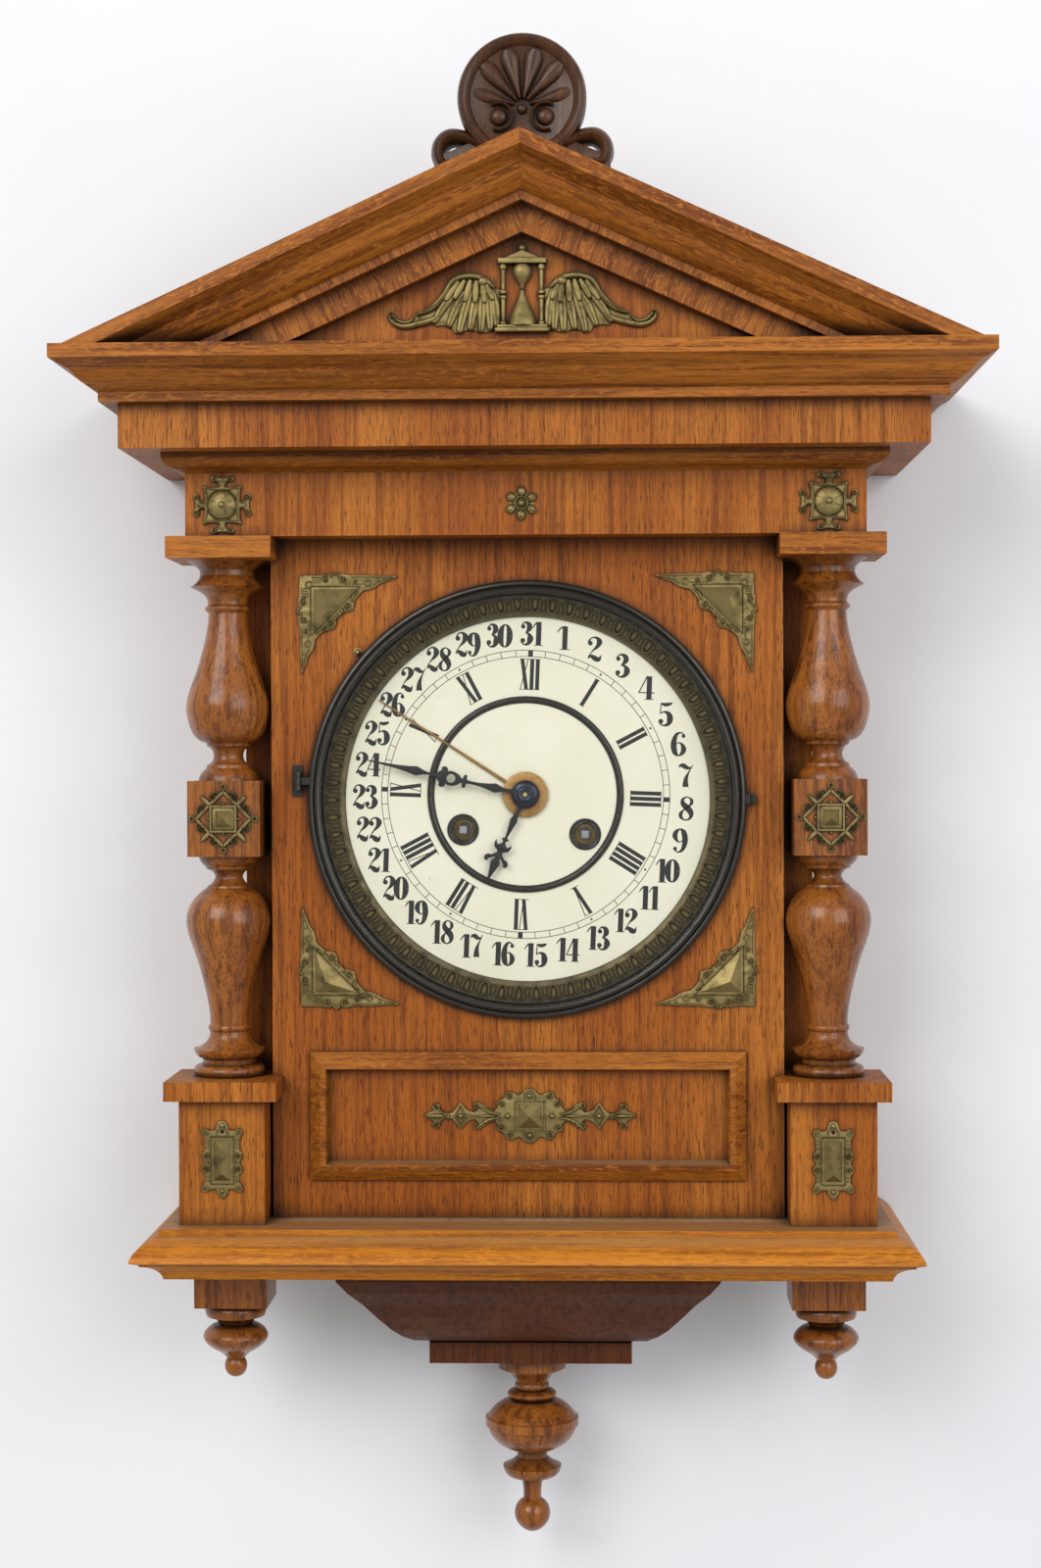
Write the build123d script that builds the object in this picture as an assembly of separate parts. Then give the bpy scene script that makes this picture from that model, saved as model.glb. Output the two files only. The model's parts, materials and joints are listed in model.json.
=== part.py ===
from build123d import *
from math import acos, atan2, cos, degrees, hypot, pi, radians, sin, tan
import os

os.makedirs("parts", exist_ok=True)

# Heights are measured from the eye line of the picture and lowered so that the hanging hole is zero
HANG = 165.0

# Case depths, negative towards the room, the wall is at zero
FRONT = -120.0
PANEL_FRONT = FRONT + 24.0
PANEL_T = 10.0
PANEL_BACK = PANEL_FRONT + PANEL_T
CORNER_BACK = FRONT + 50.0
BOARD_T = 8.0
HANGER_T = 3.0

# Half widths worked out from the door's bezel, and how far mouldings stand out past the friezes
DOOR_R = 114.0
HOLE_R = DOOR_R - 7.0
SIGHT_R = HOLE_R - 11.7
GLASS_R = DOOR_R - 5.6
PANEL_HALF = DOOR_R + 19.0
BODY = PANEL_HALF + 17.0
COL_X = PANEL_HALF + 23.0
HALF = COL_X + 17.75
CORNICE_OUT = 58.0
FILLET_OUT = 37.2
BAND_OUT = 28.8
BACK_OUT = 8.0
PEDESTAL_OUT = 4.75
BOARD_IN = 12.0
WALL_T = 10.0

# Heights of the main lines
CORNICE_TOP = 205.0
CORNICE_LOW = 179.2
FRIEZE_LOW = 157.0
BED_LOW = 147.2
ABACUS_TOP = 115.0
ABACUS_LOW = 104.0
CAP_TOP = -164.0
CAP_LOW = -173.9
BASE_TOP = -238.0
BASE_LOW = -263.7
APRON_LOW = -310.8
PLATE_LOW = -321.9
APEX = 307.9
PITCH = 24.6
RAKE_DEEP = 40.6

# Columns
COL_Y = FRONT + 27.0
BLOCK = 37.5
BLOCK_TOP = -10.2
BLOCK_LOW = -49.4
FRAME_Z = BASE_TOP + 53.0

# Door and dial
DOOR_Z = -20.5
DIAL_X = -1.0
DIAL_Z = -18.0
DIAL_TURN = 2.3
DIAL_FRONT = PANEL_BACK
DIAL_T = 1.0
HINGE_X = -DOOR_R - 5.0
HINGE_Y = PANEL_FRONT - 4.6

# Fronts of the hands, and their thickness
DATE_HAND = DIAL_FRONT - 2.0
HOUR_HAND = DIAL_FRONT - 4.4
MINUTE_HAND = DIAL_FRONT - 5.9
HAND_T = 0.6

# Movement, in its own frame with the centre arbor at zero
FP0 = -70.0
FP1 = -68.0
RP0 = -38.0
RP1 = -36.0
RUN = 0.06
WIND_X = 32.0
WIND_Z = -19.7
TOOTH = 0.36
PIPE = 1.2
CANNON_R = 2.2
HOUR_R = 3.4
DATE_R = 5.0

# Teeth
CANNON, MINUTE_WHEEL, MINUTE_PINION, HOUR_WHEEL = 12, 36, 10, 40
HOUR_DATE, DAY_WHEEL, DATE_WHEEL = 30, 60, 31
GREAT, INTER_PINION, INTER_WHEEL, CENTRE_PINION = 60, 12, 48, 8
CENTRE_WHEEL, THIRD_PINION, THIRD_WHEEL, ESCAPE_PINION = 80, 8, 90, 8
ESCAPE_WHEEL = 40
M_GREAT, M_INTER, M_CENTRE, M_THIRD, M_MOTION, M_DAY = 0.8, 0.7, 0.42, 0.34, 0.6, 0.5


def box(x0, x1, y0, y1, z0, z1):
    return Pos((x0 + x1) / 2, (y0 + y1) / 2, (z0 + z1) / 2) * Box(x1 - x0, y1 - y0, z1 - z0)


def edges_of(runs):
    edges = []
    for run in runs:
        edges.append(Line(*run) if len(run) == 2 else Spline(*run))
    if runs[-1][-1] != runs[0][0]:
        edges.append(Line(runs[-1][-1], runs[0][0]))
    return edges


def face_of(runs):
    return make_face(edges_of(runs))


def polygon(points):
    return make_face(Polyline(*points, close=True))


def flat(face, y0, y1):
    return extrude(Plane(origin=(0, y1, 0), x_dir=(1, 0, 0), z_dir=(0, -1, 0)) * face, y1 - y0)


def rise(face, z0, z1):
    return extrude(Pos(0, 0, z0) * face, z1 - z0)


def disc(x, z, r, y0, y1):
    return flat(Pos(x, z) * Circle(r), y0, y1)


def ring(x, z, r_out, r_in, y0, y1):
    return flat(Pos(x, z) * (Circle(r_out) - Circle(r_in)), y0, y1)


def turned(runs, x, y):
    face = Plane.XZ * face_of(runs)
    return Pos(x, y, 0) * revolve(face, Axis.Z, 360)


def turned_flat(runs, x, z):
    return Pos(x, 0, z) * revolve(face_of(runs), Axis.Y, 360)


def surround(runs, half, front):
    path = Polyline((-half, 0, 0), (-half, front, 0), (half, front, 0), (half, 0, 0))
    start = Plane(origin=(-half, 0, 0), x_dir=(1, 0, 0), z_dir=(0, -1, 0))
    return sweep(start * face_of(runs), path, transition=Transition.RIGHT)


def mirrored(shape):
    return mirror(shape, Plane.YZ)


def both(shape):
    return [shape, mirrored(shape)]


def save(name, shapes):
    parts = shapes if isinstance(shapes, list) else [shapes]
    solids = []
    for part in parts:
        solids += part.solids()
    moved = [solid.moved(Location((0, 0, -HANG))) for solid in solids]
    export_step(moved[0] if len(moved) == 1 else Compound(children=moved), f"parts/{name}.step")


# Case boards
def backboard():
    board = box(-BODY, BODY, -BOARD_T, 0, BASE_TOP, CORNICE_LOW)
    board -= box(-16, 16, -HANGER_T, 0, HANG - 14, HANG + 14)
    board -= disc(0, HANG, 11, -BOARD_T - 1, 0)
    return board


def hanger_plate():
    plate = box(-16, 16, -HANGER_T, 0, HANG - 14, HANG + 14)
    plate -= disc(0, HANG, 3, -4, 1)
    for x in (-12, 12):
        for z in (-10, 10):
            plate -= disc(x, HANG + z, 1.6, -4, 1)
    return plate


def case_side():
    points = [(PANEL_HALF, PANEL_BACK), (PANEL_HALF, CORNER_BACK), (BODY, CORNER_BACK), (BODY, -BOARD_T)]
    points += [(BODY - WALL_T, -BOARD_T), (BODY - WALL_T, CORNER_BACK + WALL_T)]
    points += [(PANEL_HALF - WALL_T, CORNER_BACK + WALL_T), (PANEL_HALF - WALL_T, PANEL_BACK)]
    return rise(polygon(points), BASE_TOP, ABACUS_TOP)


def front_panel():
    panel = box(-PANEL_HALF, PANEL_HALF, PANEL_FRONT, PANEL_BACK, BASE_TOP, ABACUS_TOP)
    return panel - disc(0, DOOR_Z, HOLE_R, PANEL_FRONT - 1, PANEL_BACK + 1)


def panel_frame():
    x_in, z_in = 103.0, 23.1
    solid = None
    for grow0, grow1, y0, y1 in ((10.2, 10.2, 0, -2.2), (10.2, 4.5, -2.2, -6), (4.5, 2, -6, -6.3)):
        outer = loft_frame(x_in, z_in, grow0, grow1, PANEL_FRONT + y0, PANEL_FRONT + y1)
        solid = outer if solid is None else solid + outer
    hole = loft_frame(x_in, z_in, 0, 1.8, PANEL_FRONT + 0.01, PANEL_FRONT - 6.4)
    return Pos(0, 0, FRAME_Z) * (solid - hole)


def loft_frame(x_half, z_half, grow0, grow1, y0, y1):
    if grow0 == grow1:
        return box(-x_half - grow0, x_half + grow0, y1, y0, -z_half - grow0, z_half + grow0)
    faces = []
    for grow, y in ((grow0, y0), (grow1, y1)):
        plane = Plane(origin=(0, y, 0), x_dir=(1, 0, 0), z_dir=(0, -1, 0))
        faces.append(plane * Rectangle(2 * (x_half + grow), 2 * (z_half + grow)))
    return loft(faces, ruled=True)


def case_floor():
    return box(-HALF + BOARD_IN, HALF - BOARD_IN, FRONT + BOARD_IN, 0, BASE_LOW, BASE_TOP)


def case_top():
    return box(-HALF + BOARD_IN, HALF - BOARD_IN, FRONT + BOARD_IN, 0, CORNICE_LOW, CORNICE_TOP - BOARD_IN)


def frieze_lower():
    return surround([[(0, BED_LOW), (0, ABACUS_TOP)], [(0, ABACUS_TOP), (BOARD_IN, ABACUS_TOP)],
                     [(BOARD_IN, ABACUS_TOP), (BOARD_IN, BED_LOW)]], HALF, FRONT)


def frieze_soffit():
    return box(-HALF + BOARD_IN, HALF - BOARD_IN, FRONT + BOARD_IN, -BOARD_T, ABACUS_TOP, ABACUS_TOP + 8) \
        - box(-BODY + WALL_T, BODY - WALL_T, PANEL_BACK, 1, ABACUS_TOP - 1, ABACUS_TOP + 9)


def bed_moulding():
    top, low = FRIEZE_LOW, BED_LOW
    runs = [[(-10.7, top), (-10.7, top - 2.6)], [(-10.7, top - 2.6), (-9.4, top - 5), (-5, top - 7.6)],
            [(-5, top - 7.6), (-2.4, top - 8.4), (0, low)], [(0, low), (BOARD_IN, low)],
            [(BOARD_IN, low), (BOARD_IN, top)]]
    return surround(runs, HALF, FRONT)


def frieze_upper():
    return surround([[(-28.9, CORNICE_LOW), (-28.9, FRIEZE_LOW)],
                     [(-28.9, FRIEZE_LOW), (BOARD_IN, FRIEZE_LOW)],
                     [(BOARD_IN, FRIEZE_LOW), (BOARD_IN, CORNICE_LOW)]], HALF, FRONT)


def cornice():
    top, low = CORNICE_TOP, CORNICE_LOW
    out, fillet = -CORNICE_OUT, -FILLET_OUT
    runs = [[(out, top), (out, top - 6.8)], [(out, top - 6.8), (out + 1.6, top - 7.6),
                                             (out + 9, top - 11.6)],
            [(out + 9, top - 11.6), (fillet - 4.8, top - 18.4), (fillet, top - 21)],
            [(fillet, top - 21), (fillet, low)], [(fillet, low), (BOARD_IN, low)],
            [(BOARD_IN, low), (BOARD_IN, top)]]
    return surround(runs, HALF, FRONT)


# Pediment
def raking_cornice():
    reach = HALF + CORNICE_OUT
    front, fillet, band, back = FRONT - CORNICE_OUT, FRONT - FILLET_OUT, FRONT - BAND_OUT, FRONT - BACK_OUT
    runs = [[(back, 0), (front, 0)], [(front, 0), (front, -6.8)],
            [(front, -6.8), (front + 1.6, -7.6), (front + 9, -12)],
            [(front + 9, -12), (fillet - 4.8, -20.8), (fillet, -23.6)],
            [(fillet, -23.6), (fillet, -27.6)], [(fillet, -27.6), (band, -27.6)],
            [(band, -27.6), (band, -RAKE_DEEP)], [(band, -RAKE_DEEP), (back, -RAKE_DEEP)]]
    start = Plane(origin=(0, 0, 0), x_dir=(0, 1, 0), z_dir=(1, 0, 0))
    bar = Pos(-RAKE_DEEP, 0, 0) * extrude(start * face_of(runs),
                                          reach / cos(radians(PITCH)) + 2 * RAKE_DEEP)
    bar = Pos(0, 0, APEX) * (Rot(0, PITCH, 0) * bar)
    room = box(0, reach + RAKE_DEEP, front - 1, 0, CORNICE_TOP, APEX + 1)
    return bar & room


def tympanum():
    peak = APEX - RAKE_DEEP
    half = (peak - CORNICE_TOP) / tan(radians(PITCH))
    face = polygon([(-half - 14, CORNICE_TOP), (half + 14, CORNICE_TOP), (0, peak + 6.6)])
    board = flat(face, FRONT - 20, FRONT - BACK_OUT)
    return board - raking_cornice() - mirrored(raking_cornice())


def pediment_back():
    half = (APEX - 8 - CORNICE_TOP) / tan(radians(PITCH))
    points = [(-half, CORNICE_TOP), (half, CORNICE_TOP), (0, APEX - 8)]
    return flat(polygon(points), FRONT - BACK_OUT, FRONT + 4)


def crest_shell():
    y_front, y_back = FRONT - 20, FRONT - 8
    zc, low = APEX + 24.9, APEX + 1.6
    body = disc(0, zc, 32.5, y_front, y_back)
    body += disc(33, low, 9.5, y_front + 1, y_back) + disc(-33, low, 9.5, y_front + 1, y_back)
    skirt = polygon([(x, APEX + rise_by) for x, rise_by in
                     ((-46, -21.9), (46, -21.9), (44, -3.9), (24, 4.1), (-24, 4.1), (-44, -3.9))])
    body += flat(skirt, y_front + 2, y_back)
    roof = polygon([(-60, APEX - 58), (60, APEX - 58), (60, APEX - 60 * tan(radians(PITCH))), (0, APEX),
                    (-60, APEX - 60 * tan(radians(PITCH)))])
    body -= flat(roof, y_front - 1, y_back + 1)
    body -= disc(0, zc, 27.5, y_front - 1, y_front + 3)
    for k in range(5):
        turn = radians(18 + 36 * k)
        rib = Pos(0, zc - 6) * Rot(0, 0, degrees(turn) - 90) * (Pos(0, 16) * Ellipse(3.6, 15))
        inner = flat(rib, y_front + 0.8, y_front + 4)
        body += inner & disc(0, zc, 27.4, y_front, y_back)
    for x in (-11.5, 11.5):
        body += disc(x, zc - 9, 5, y_front - 1, y_front + 4)
    for x in (-33, 33):
        body += disc(x, low, 5.5, y_front - 1, y_front + 3)
    return body


# Columns and pedestals
UPPER = [[(0, 104), (20.9, 104)], [(20.9, 104), (17, 101.8), (14.5, 99.1)], [(14.5, 99.1), (14.5, 96.4)],
         [(14.5, 96.4), (16.4, 93.2), (19.4, 90.7)], [(19.4, 90.7), (15.4, 88.8), (12.1, 86.5), (10.3, 83)],
         [(10.3, 83), (10.3, 81.3)], [(10.3, 81.3), (11.9, 79.4), (10.4, 77.5)],
         [(10.4, 77.5), (10.0, 76.6)],
         [(10.0, 76.6), (10.8, 68.6), (13.1, 58.4), (16.1, 48.2), (19.4, 39), (21.9, 29), (20.9, 20.7),
          (16.9, 12.3), (11.5, 9.5)],
         [(11.5, 9.5), (11.2, 7.8)], [(11.2, 7.8), (8.3, 5.4), (7.7, 3.2), (8.4, 0.2), (11.2, -2)],
         [(11.2, -2), (11.6, -3.7)], [(11.6, -3.7), (14.6, -6.9), (15.8, -10.3)],
         [(15.8, -10.3), (0, -10.3)]]

LOWER = [[(0, -49.3), (15.8, -49.3)], [(15.8, -49.3), (14.4, -52.8), (12, -55)],
         [(12, -55), (11.6, -56.3)], [(11.6, -56.3), (8, -58.3), (7.2, -60), (7.9, -62.3), (11.2, -65)],
         [(11.2, -65), (11.5, -66)],
         [(11.5, -66), (14.8, -68.4), (19.7, -74), (22.3, -83.2), (19.4, -95.7), (16.1, -105.4),
          (13.1, -116.6), (10.8, -127.9), (10, -137)],
         [(10, -137), (11.1, -138.8), (10.2, -141)],
         [(10.2, -141), (10.6, -143.8), (12.2, -146.4), (18.7, -149.8)],
         [(18.7, -149.8), (17.6, -152.6), (14.2, -155.2)], [(14.2, -155.2), (14, -157.6)],
         [(14, -157.6), (18.6, -160.4), (18, -164)], [(18, -164), (0, -164)]]


def column():
    block = box(COL_X - BLOCK / 2, COL_X + BLOCK / 2, COL_Y - BLOCK / 2, COL_Y + BLOCK / 2, BLOCK_LOW,
                BLOCK_TOP)
    return turned(UPPER, COL_X, COL_Y) + block + turned(LOWER, COL_X, COL_Y)


def corner_slab(over, z0, z1):
    inner, outer = PANEL_HALF + 1.4, HALF + PEDESTAL_OUT
    return box(inner - over, outer + over, FRONT - over, CORNER_BACK, z0, z1) \
        - box(PANEL_HALF - 30, PANEL_HALF, PANEL_FRONT, CORNER_BACK + 1, z0 - 1, z1 + 1)


def base_moulding():
    top, low = BASE_TOP, BASE_LOW
    runs = [[(-8.5, top), (-8.5, top - 3)], [(-8.5, top - 3), (-10.3, top - 3.9)],
            [(-10.3, top - 3.9), (-16.5, top - 7.6), (-20.6, top - 12), (-21.7, top - 14.9)],
            [(-21.7, top - 14.9), (-17.1, top - 16.6)], [(-17.1, top - 16.6), (-17.1, top - 17.4)],
            [(-17.1, top - 17.4), (-12.2, top - 19), (-8.6, top - 21.5), (-6.4, low)],
            [(-6.4, low), (BOARD_IN, low)], [(BOARD_IN, low), (BOARD_IN, top)]]
    moved = [[(x - PEDESTAL_OUT if x < 0 else x, z) for x, z in run] for run in runs]
    return surround(moved, HALF, FRONT)


def apron():
    steps = [(0, BASE_LOW), (2.2, -270), (7.2, -276.6), (14.9, -284.4), (22, -293), (28.7, -300.5),
             (34, -305), (39.4, -308.2), (46, -309.8), (48, APRON_LOW)]
    faces = []
    for inset, z in steps:
        half, front = 101.3 - inset, FRONT + 10 + inset
        faces.append(Pos(0, front / 2, z) * Rectangle(2 * half, -front))
    solid = None
    for low, high in zip(faces[1:], faces[:-1]):
        piece = loft([low, high], ruled=True)
        solid = piece if solid is None else solid + piece
    return solid


def finial_centre():
    runs = [[(0, PLATE_LOW), (18.3, PLATE_LOW)], [(18.3, PLATE_LOW), (18.3, -329)],
            [(18.3, -329), (12, -332.4), (9.3, -335.5)], [(9.3, -335.5), (8.5, -337)],
            [(8.5, -337), (9.3, -339), (8.5, -341)], [(8.5, -341), (13.3, -343.6), (11, -346.3)],
            [(11, -346.3), (18.5, -349.4), (23.9, -355.2)], [(23.9, -355.2), (25.2, -355.9)],
            [(25.2, -355.9), (25.2, -360.2)], [(25.2, -360.2), (23.9, -361)],
            [(23.9, -361), (21.5, -366.5), (15.5, -371.6), (8, -374.5)], [(8, -374.5), (8.2, -377.5)],
            [(8.2, -377.5), (12, -380.6), (15.8, -382.4)], [(15.8, -382.4), (15, -385.6), (6, -388.9)],
            [(6, -388.9), (5, -394), (4.9, -400.6)],
            [(4.9, -400.6), (9.2, -405.6), (9.3, -411), (5.6, -416.4), (0, -418.7)]]
    return turned(runs, 0, FRONT + 80)


def finial_side():
    block = box(COL_X - 19.1, COL_X + 19.1, FRONT + 25, FRONT + 63, -286.5, BASE_LOW)
    runs = [[(0, -286.4), (14, -286.4)], [(14, -286.4), (16, -289.5), (15.4, -293.6)],
            [(15.4, -293.6), (10.4, -295.6), (8.8, -298)],
            [(8.8, -298), (14.6, -300.2), (17.1, -304.5), (13.2, -310), (7.4, -313.6), (4.7, -316.5)],
            [(4.7, -316.5), (5.9, -319.6), (5.2, -323.4), (0, -326.4)]]
    return block + turned(runs, COL_X, FRONT + 44)


# Brass mounts on the case
def pyramid(x, z, half_x, half_z, y0, y1, tip=0.15):
    faces = []
    for scale, y in ((1, y0), (tip, y1)):
        plane = Plane(origin=(x, y, z), x_dir=(1, 0, 0), z_dir=(0, -1, 0))
        faces.append(plane * Rectangle(2 * half_x * scale, 2 * half_z * scale))
    return loft(faces, ruled=True)


def pin_lugs(points, y_face, r=2.0):
    lugs = None
    for x, z in points:
        lug = ring(x, z, r, 0.75, y_face - 1.2, y_face)
        lugs = lug if lugs is None else lugs + lug
    return lugs


def corner_mount(x, z, sx, sz, y_face):
    size = 50.0
    curve = [(0, 0), (size, 0), (size - 2, -5), (size - 16, -8), (size - 19, -14), (30, -19), (25, -25),
             (19, -30), (14, -31), (8, -34), (5, -48), (0, -size)]
    face = polygon([(x + sx * u, z + sz * v) for u, v in curve])
    plate = flat(face, y_face - 1.4, y_face)
    tri = polygon([(x + sx * u, z + sz * v) for u, v in ((5.6, -5), (27, -5.5), (6.2, -28))])
    plate += flat(tri, y_face - 3.6, y_face)
    for u, v in ((3, -3), (46, -2.2), (2.2, -46)):
        plate -= disc(x + sx * u, z + sz * v, 0.75, y_face - 3, y_face + 1)
    return plate


def corner_mounts():
    x, high, low = PANEL_HALF - 15, ABACUS_LOW - 7.5, CAP_TOP + 36
    spots = [(-x, high, 1, 1), (x, high, -1, 1), (-x, low, 1, -1), (x, low, -1, -1)]
    return [corner_mount(*spot, PANEL_FRONT) for spot in spots]


def square_rosette(x, z, y_face):
    face = polygon([(x + 10 * u, z + 10 * v) for u, v in
                    ((-1, 1), (0, .85), (1, 1), (.85, 0), (1, -1), (0, -.85), (-1, -1), (-.85, 0))])
    plate = flat(face, y_face - 1.6, y_face)
    for turn in range(4):
        across, out = radians(90 * turn), radians(90 * turn + 90)
        for side in (-3.6, 3.6):
            u, v = side * cos(across) + 13 * cos(out), side * sin(across) + 13 * sin(out)
            plate += disc(x + u, z + v, 1.5, y_face - 1.2, y_face)
        arm = polygon([(x + a * cos(across) + b * cos(out), z + a * sin(across) + b * sin(out))
                       for a, b in ((-1.6, 8), (1.6, 8), (1.8, 11), (4.4, 12.6), (4, 14), (0, 12.8),
                                    (-4, 14), (-4.4, 12.6), (-1.8, 11))])
        plate += flat(arm, y_face - 1.2, y_face)
        plate -= disc(x + 11.2 * cos(out), z + 11.2 * sin(out), 0.75, y_face - 2, y_face + 1)
    dome = Pos(x, y_face - 1.5, z) * (Rot(90, 0, 0) * Cylinder(7.4, 3))
    return plate + dome


def flower(x, z, y_face):
    bloom = disc(x, z, 5, y_face - 2.4, y_face)
    for k in range(6):
        turn = radians(60 * k + 30)
        bloom += disc(x + 6.4 * cos(turn), z + 6.4 * sin(turn), 2.6, y_face - 2, y_face)
    return bloom


def frieze_rosettes():
    z = 130.9
    x = COL_X - 1.5
    return [square_rosette(-x, z, FRONT), flower(-1.5, z, FRONT), square_rosette(x, z, FRONT)]


def column_mount(x):
    y = COL_Y - BLOCK / 2
    z = (BLOCK_TOP + BLOCK_LOW) / 2
    diamond = polygon([(x, z + 13.5), (x + 13.5, z), (x, z - 13.5), (x - 13.5, z)])
    plate = flat(diamond, y - 1.4, y)
    plate += pyramid(x, z, 6.6, 6.6, y, y - 4.4)
    lugs = [(x, z + 15), (x + 15, z), (x, z - 15), (x - 15, z)]
    plate += pin_lugs(lugs, y)
    for u, v in ((1, 1), (1, -1), (-1, 1), (-1, -1)):
        plate += disc(x + 8 * u, z + 8 * v, 4, y - 1.8, y)
    for u, v in lugs:
        plate -= disc(u, v, 0.75, y - 2, y + 1)
    return plate


def pedestal_mount(x):
    y = FRONT
    z = -204.6
    shield = polygon([(x + u, z + v) for u, v in
                      ((0, 19), (4, 15), (8, 13), (8.5, 7), (6.5, 4), (10, 1), (10, -2), (6.5, -5),
                       (8.5, -8), (8, -13), (4, -15), (0, -19), (-4, -15), (-8, -13), (-8.5, -8),
                       (-6.5, -5), (-10, -2), (-10, 1), (-6.5, 4), (-8.5, 7), (-8, 13), (-4, 15))])
    plate = flat(shield, y - 1.5, y) + pyramid(x, z, 3.6, 9, y, y - 4)
    for u, v in ((8, 11), (8, -11), (-8, 11), (-8, -11)):
        plate += disc(x + u, z + v, 2.8, y - 1.5, y)
        plate -= disc(x + u, z + v, 1, y - 2, y + 1)
    return plate


def panel_mount():
    y = PANEL_FRONT
    z = FRAME_Z
    face = polygon([(u, z + v) for u, v in
                    ((-54.5, 0), (-50, 3.5), (-44, 1.6), (-38, 5), (-31, 3), (-24, 8.5), (-14, 10),
                     (-7, 13.2), (7, 13.2), (14, 10), (24, 8.5), (31, 3), (38, 5), (44, 1.6), (50, 3.5),
                     (54.5, 0), (50, -3.5), (44, -1.6), (38, -5), (31, -3), (24, -8.5), (14, -10),
                     (7, -13.2), (-7, -13.2), (-14, -10), (-24, -8.5), (-31, -3), (-38, -5), (-44, -1.6),
                     (-50, -3.5))])
    return flat(face, y - 1.6, y) + pyramid(0, z, 6.2, 6.2, y, y - 5)


def winged_hourglass():
    y = FRONT - 20
    z = APEX - 71.9
    wing = [(10, -0.5), (15.9, 1.3), (19.6, 6.3), (25, 7.8), (30.5, 6.7), (35.1, 5.8), (40.5, -3.3),
            (46.9, -9.7), (53.3, -12.4), (56.9, -16.9), (63.3, -15.1), (66, -11.9), (67.9, -12.4),
            (66.5, -16), (63.3, -18.8), (58.7, -19.7), (52.4, -18.3), (45.1, -16), (43.3, -18.3),
            (36, -17.9), (34.2, -21.6), (31.4, -21.8), (26, -19.7), (22.3, -21.4), (19.6, -21.8),
            (14.1, -20.6), (11, -18.9), (12.3, -10.6)]
    right = polygon([(u, z + v) for u, v in wing])
    left = polygon([(-u, z + v) for u, v in wing])
    glass = polygon([(u, z + v) for u, v in
                     ((-12, 15), (12, 15), (12, 12.6), (5, 12.4), (5, 8), (1, 1), (1, -4), (7.2, -16.6),
                      (13, -18), (13, -22), (-13, -22), (-13, -18), (-7.2, -16.6), (-1, -4), (-1, 1),
                      (-5, 8), (-5, 12.4), (-12, 12.6))])
    gable = polygon([(u, z + v) for u, v in ((-8, 14.8), (8, 14.8), (0, 19))])
    posts = box(-10.9, -8.3, y - 4, y, z - 18.2, z + 13) + box(8.3, 10.9, y - 4, y, z - 18.2, z + 13)
    shape = flat(right, y - 2.5, y) + flat(left, y - 2.5, y) + flat(glass, y - 5, y) + posts
    return shape + flat(gable, y - 4, y) + disc(0, z + 19.5, 2.5, y - 4, y)


# Door and dial, the door in case heights
def bezel():
    y = PANEL_FRONT
    r = DOOR_R
    runs = [[(r, y - 0.4), (r, y - 2.6)], [(r, y - 2.6), (r - 0.8, y - 4.6), (r - 2.2, y - 5.2)],
            [(r - 2.2, y - 5.2), (r - 3.2, y - 4.9), (r - 3.6, y - 4.6)],
            [(r - 3.6, y - 4.6), (r - 4.1, y - 7), (r - 5.4, y - 7.8)],
            [(r - 5.4, y - 7.8), (r - 6.6, y - 7.4), (r - 7.2, y - 6)],
            [(r - 7.2, y - 6), (r - 7.2, y - 4.6)], [(r - 7.2, y - 4.6), (GLASS_R + 0.1, y - 4.6)],
            [(GLASS_R + 0.1, y - 4.6), (GLASS_R + 0.1, y - 2.4)],
            [(GLASS_R + 0.1, y - 2.4), (GLASS_R + 1.6, y - 2.4)],
            [(GLASS_R + 1.6, y - 2.4), (GLASS_R + 1.6, y - 0.4)], [(GLASS_R + 1.6, y - 0.4), (r, y - 0.4)]]
    bar = turned_flat(runs, 0, DOOR_Z)
    arm = box(HINGE_X, 2.4 - r, HINGE_Y - 0.5, HINGE_Y + 0.5, DOOR_Z - 1.9 + 10, DOOR_Z + 1.9 + 10)
    knuckle = Pos(HINGE_X, HINGE_Y, DOOR_Z + 10) * Cylinder(2.2, 3.8)
    pin_hole = Pos(HINGE_X, HINGE_Y, DOOR_Z + 10) * Cylinder(0.8 + RUN, 20)
    lift = Pos(r - 2, 0, DOOR_Z) * box(0, 3.6, y - 4.4, y - 3, -2.5, 2.5)
    return bar + arm + knuckle - pin_hole + lift


def glass():
    return disc(0, DOOR_Z, GLASS_R, PANEL_FRONT - 4.55, PANEL_FRONT - 2.45)


def glass_retainer():
    return ring(0, DOOR_Z, GLASS_R + 1.4, GLASS_R - 1.7, PANEL_FRONT - 2.4, PANEL_FRONT - 1.4)


def hinge_leaf():
    z = DOOR_Z + 10
    leaf = box(HINGE_X - 3, HINGE_X + 2, PANEL_FRONT - 1, PANEL_FRONT, z - 8, z + 8)
    pin = Pos(HINGE_X, HINGE_Y, z) * Cylinder(0.8, 9)
    for side in (-1, 1):
        mid = z + side * 3.5
        leaf += Pos(HINGE_X, HINGE_Y, mid) * Cylinder(2.2, 2.6)
        leaf += box(HINGE_X - 1.2, HINGE_X + 1.2, HINGE_Y, PANEL_FRONT, mid - 1.3, mid + 1.3)
    return leaf + pin


def catch():
    return box(DOOR_R + 2, DOOR_R + 4.6, PANEL_FRONT - 2.8, PANEL_FRONT, DOOR_Z - 2.2, DOOR_Z + 2.2)


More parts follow.
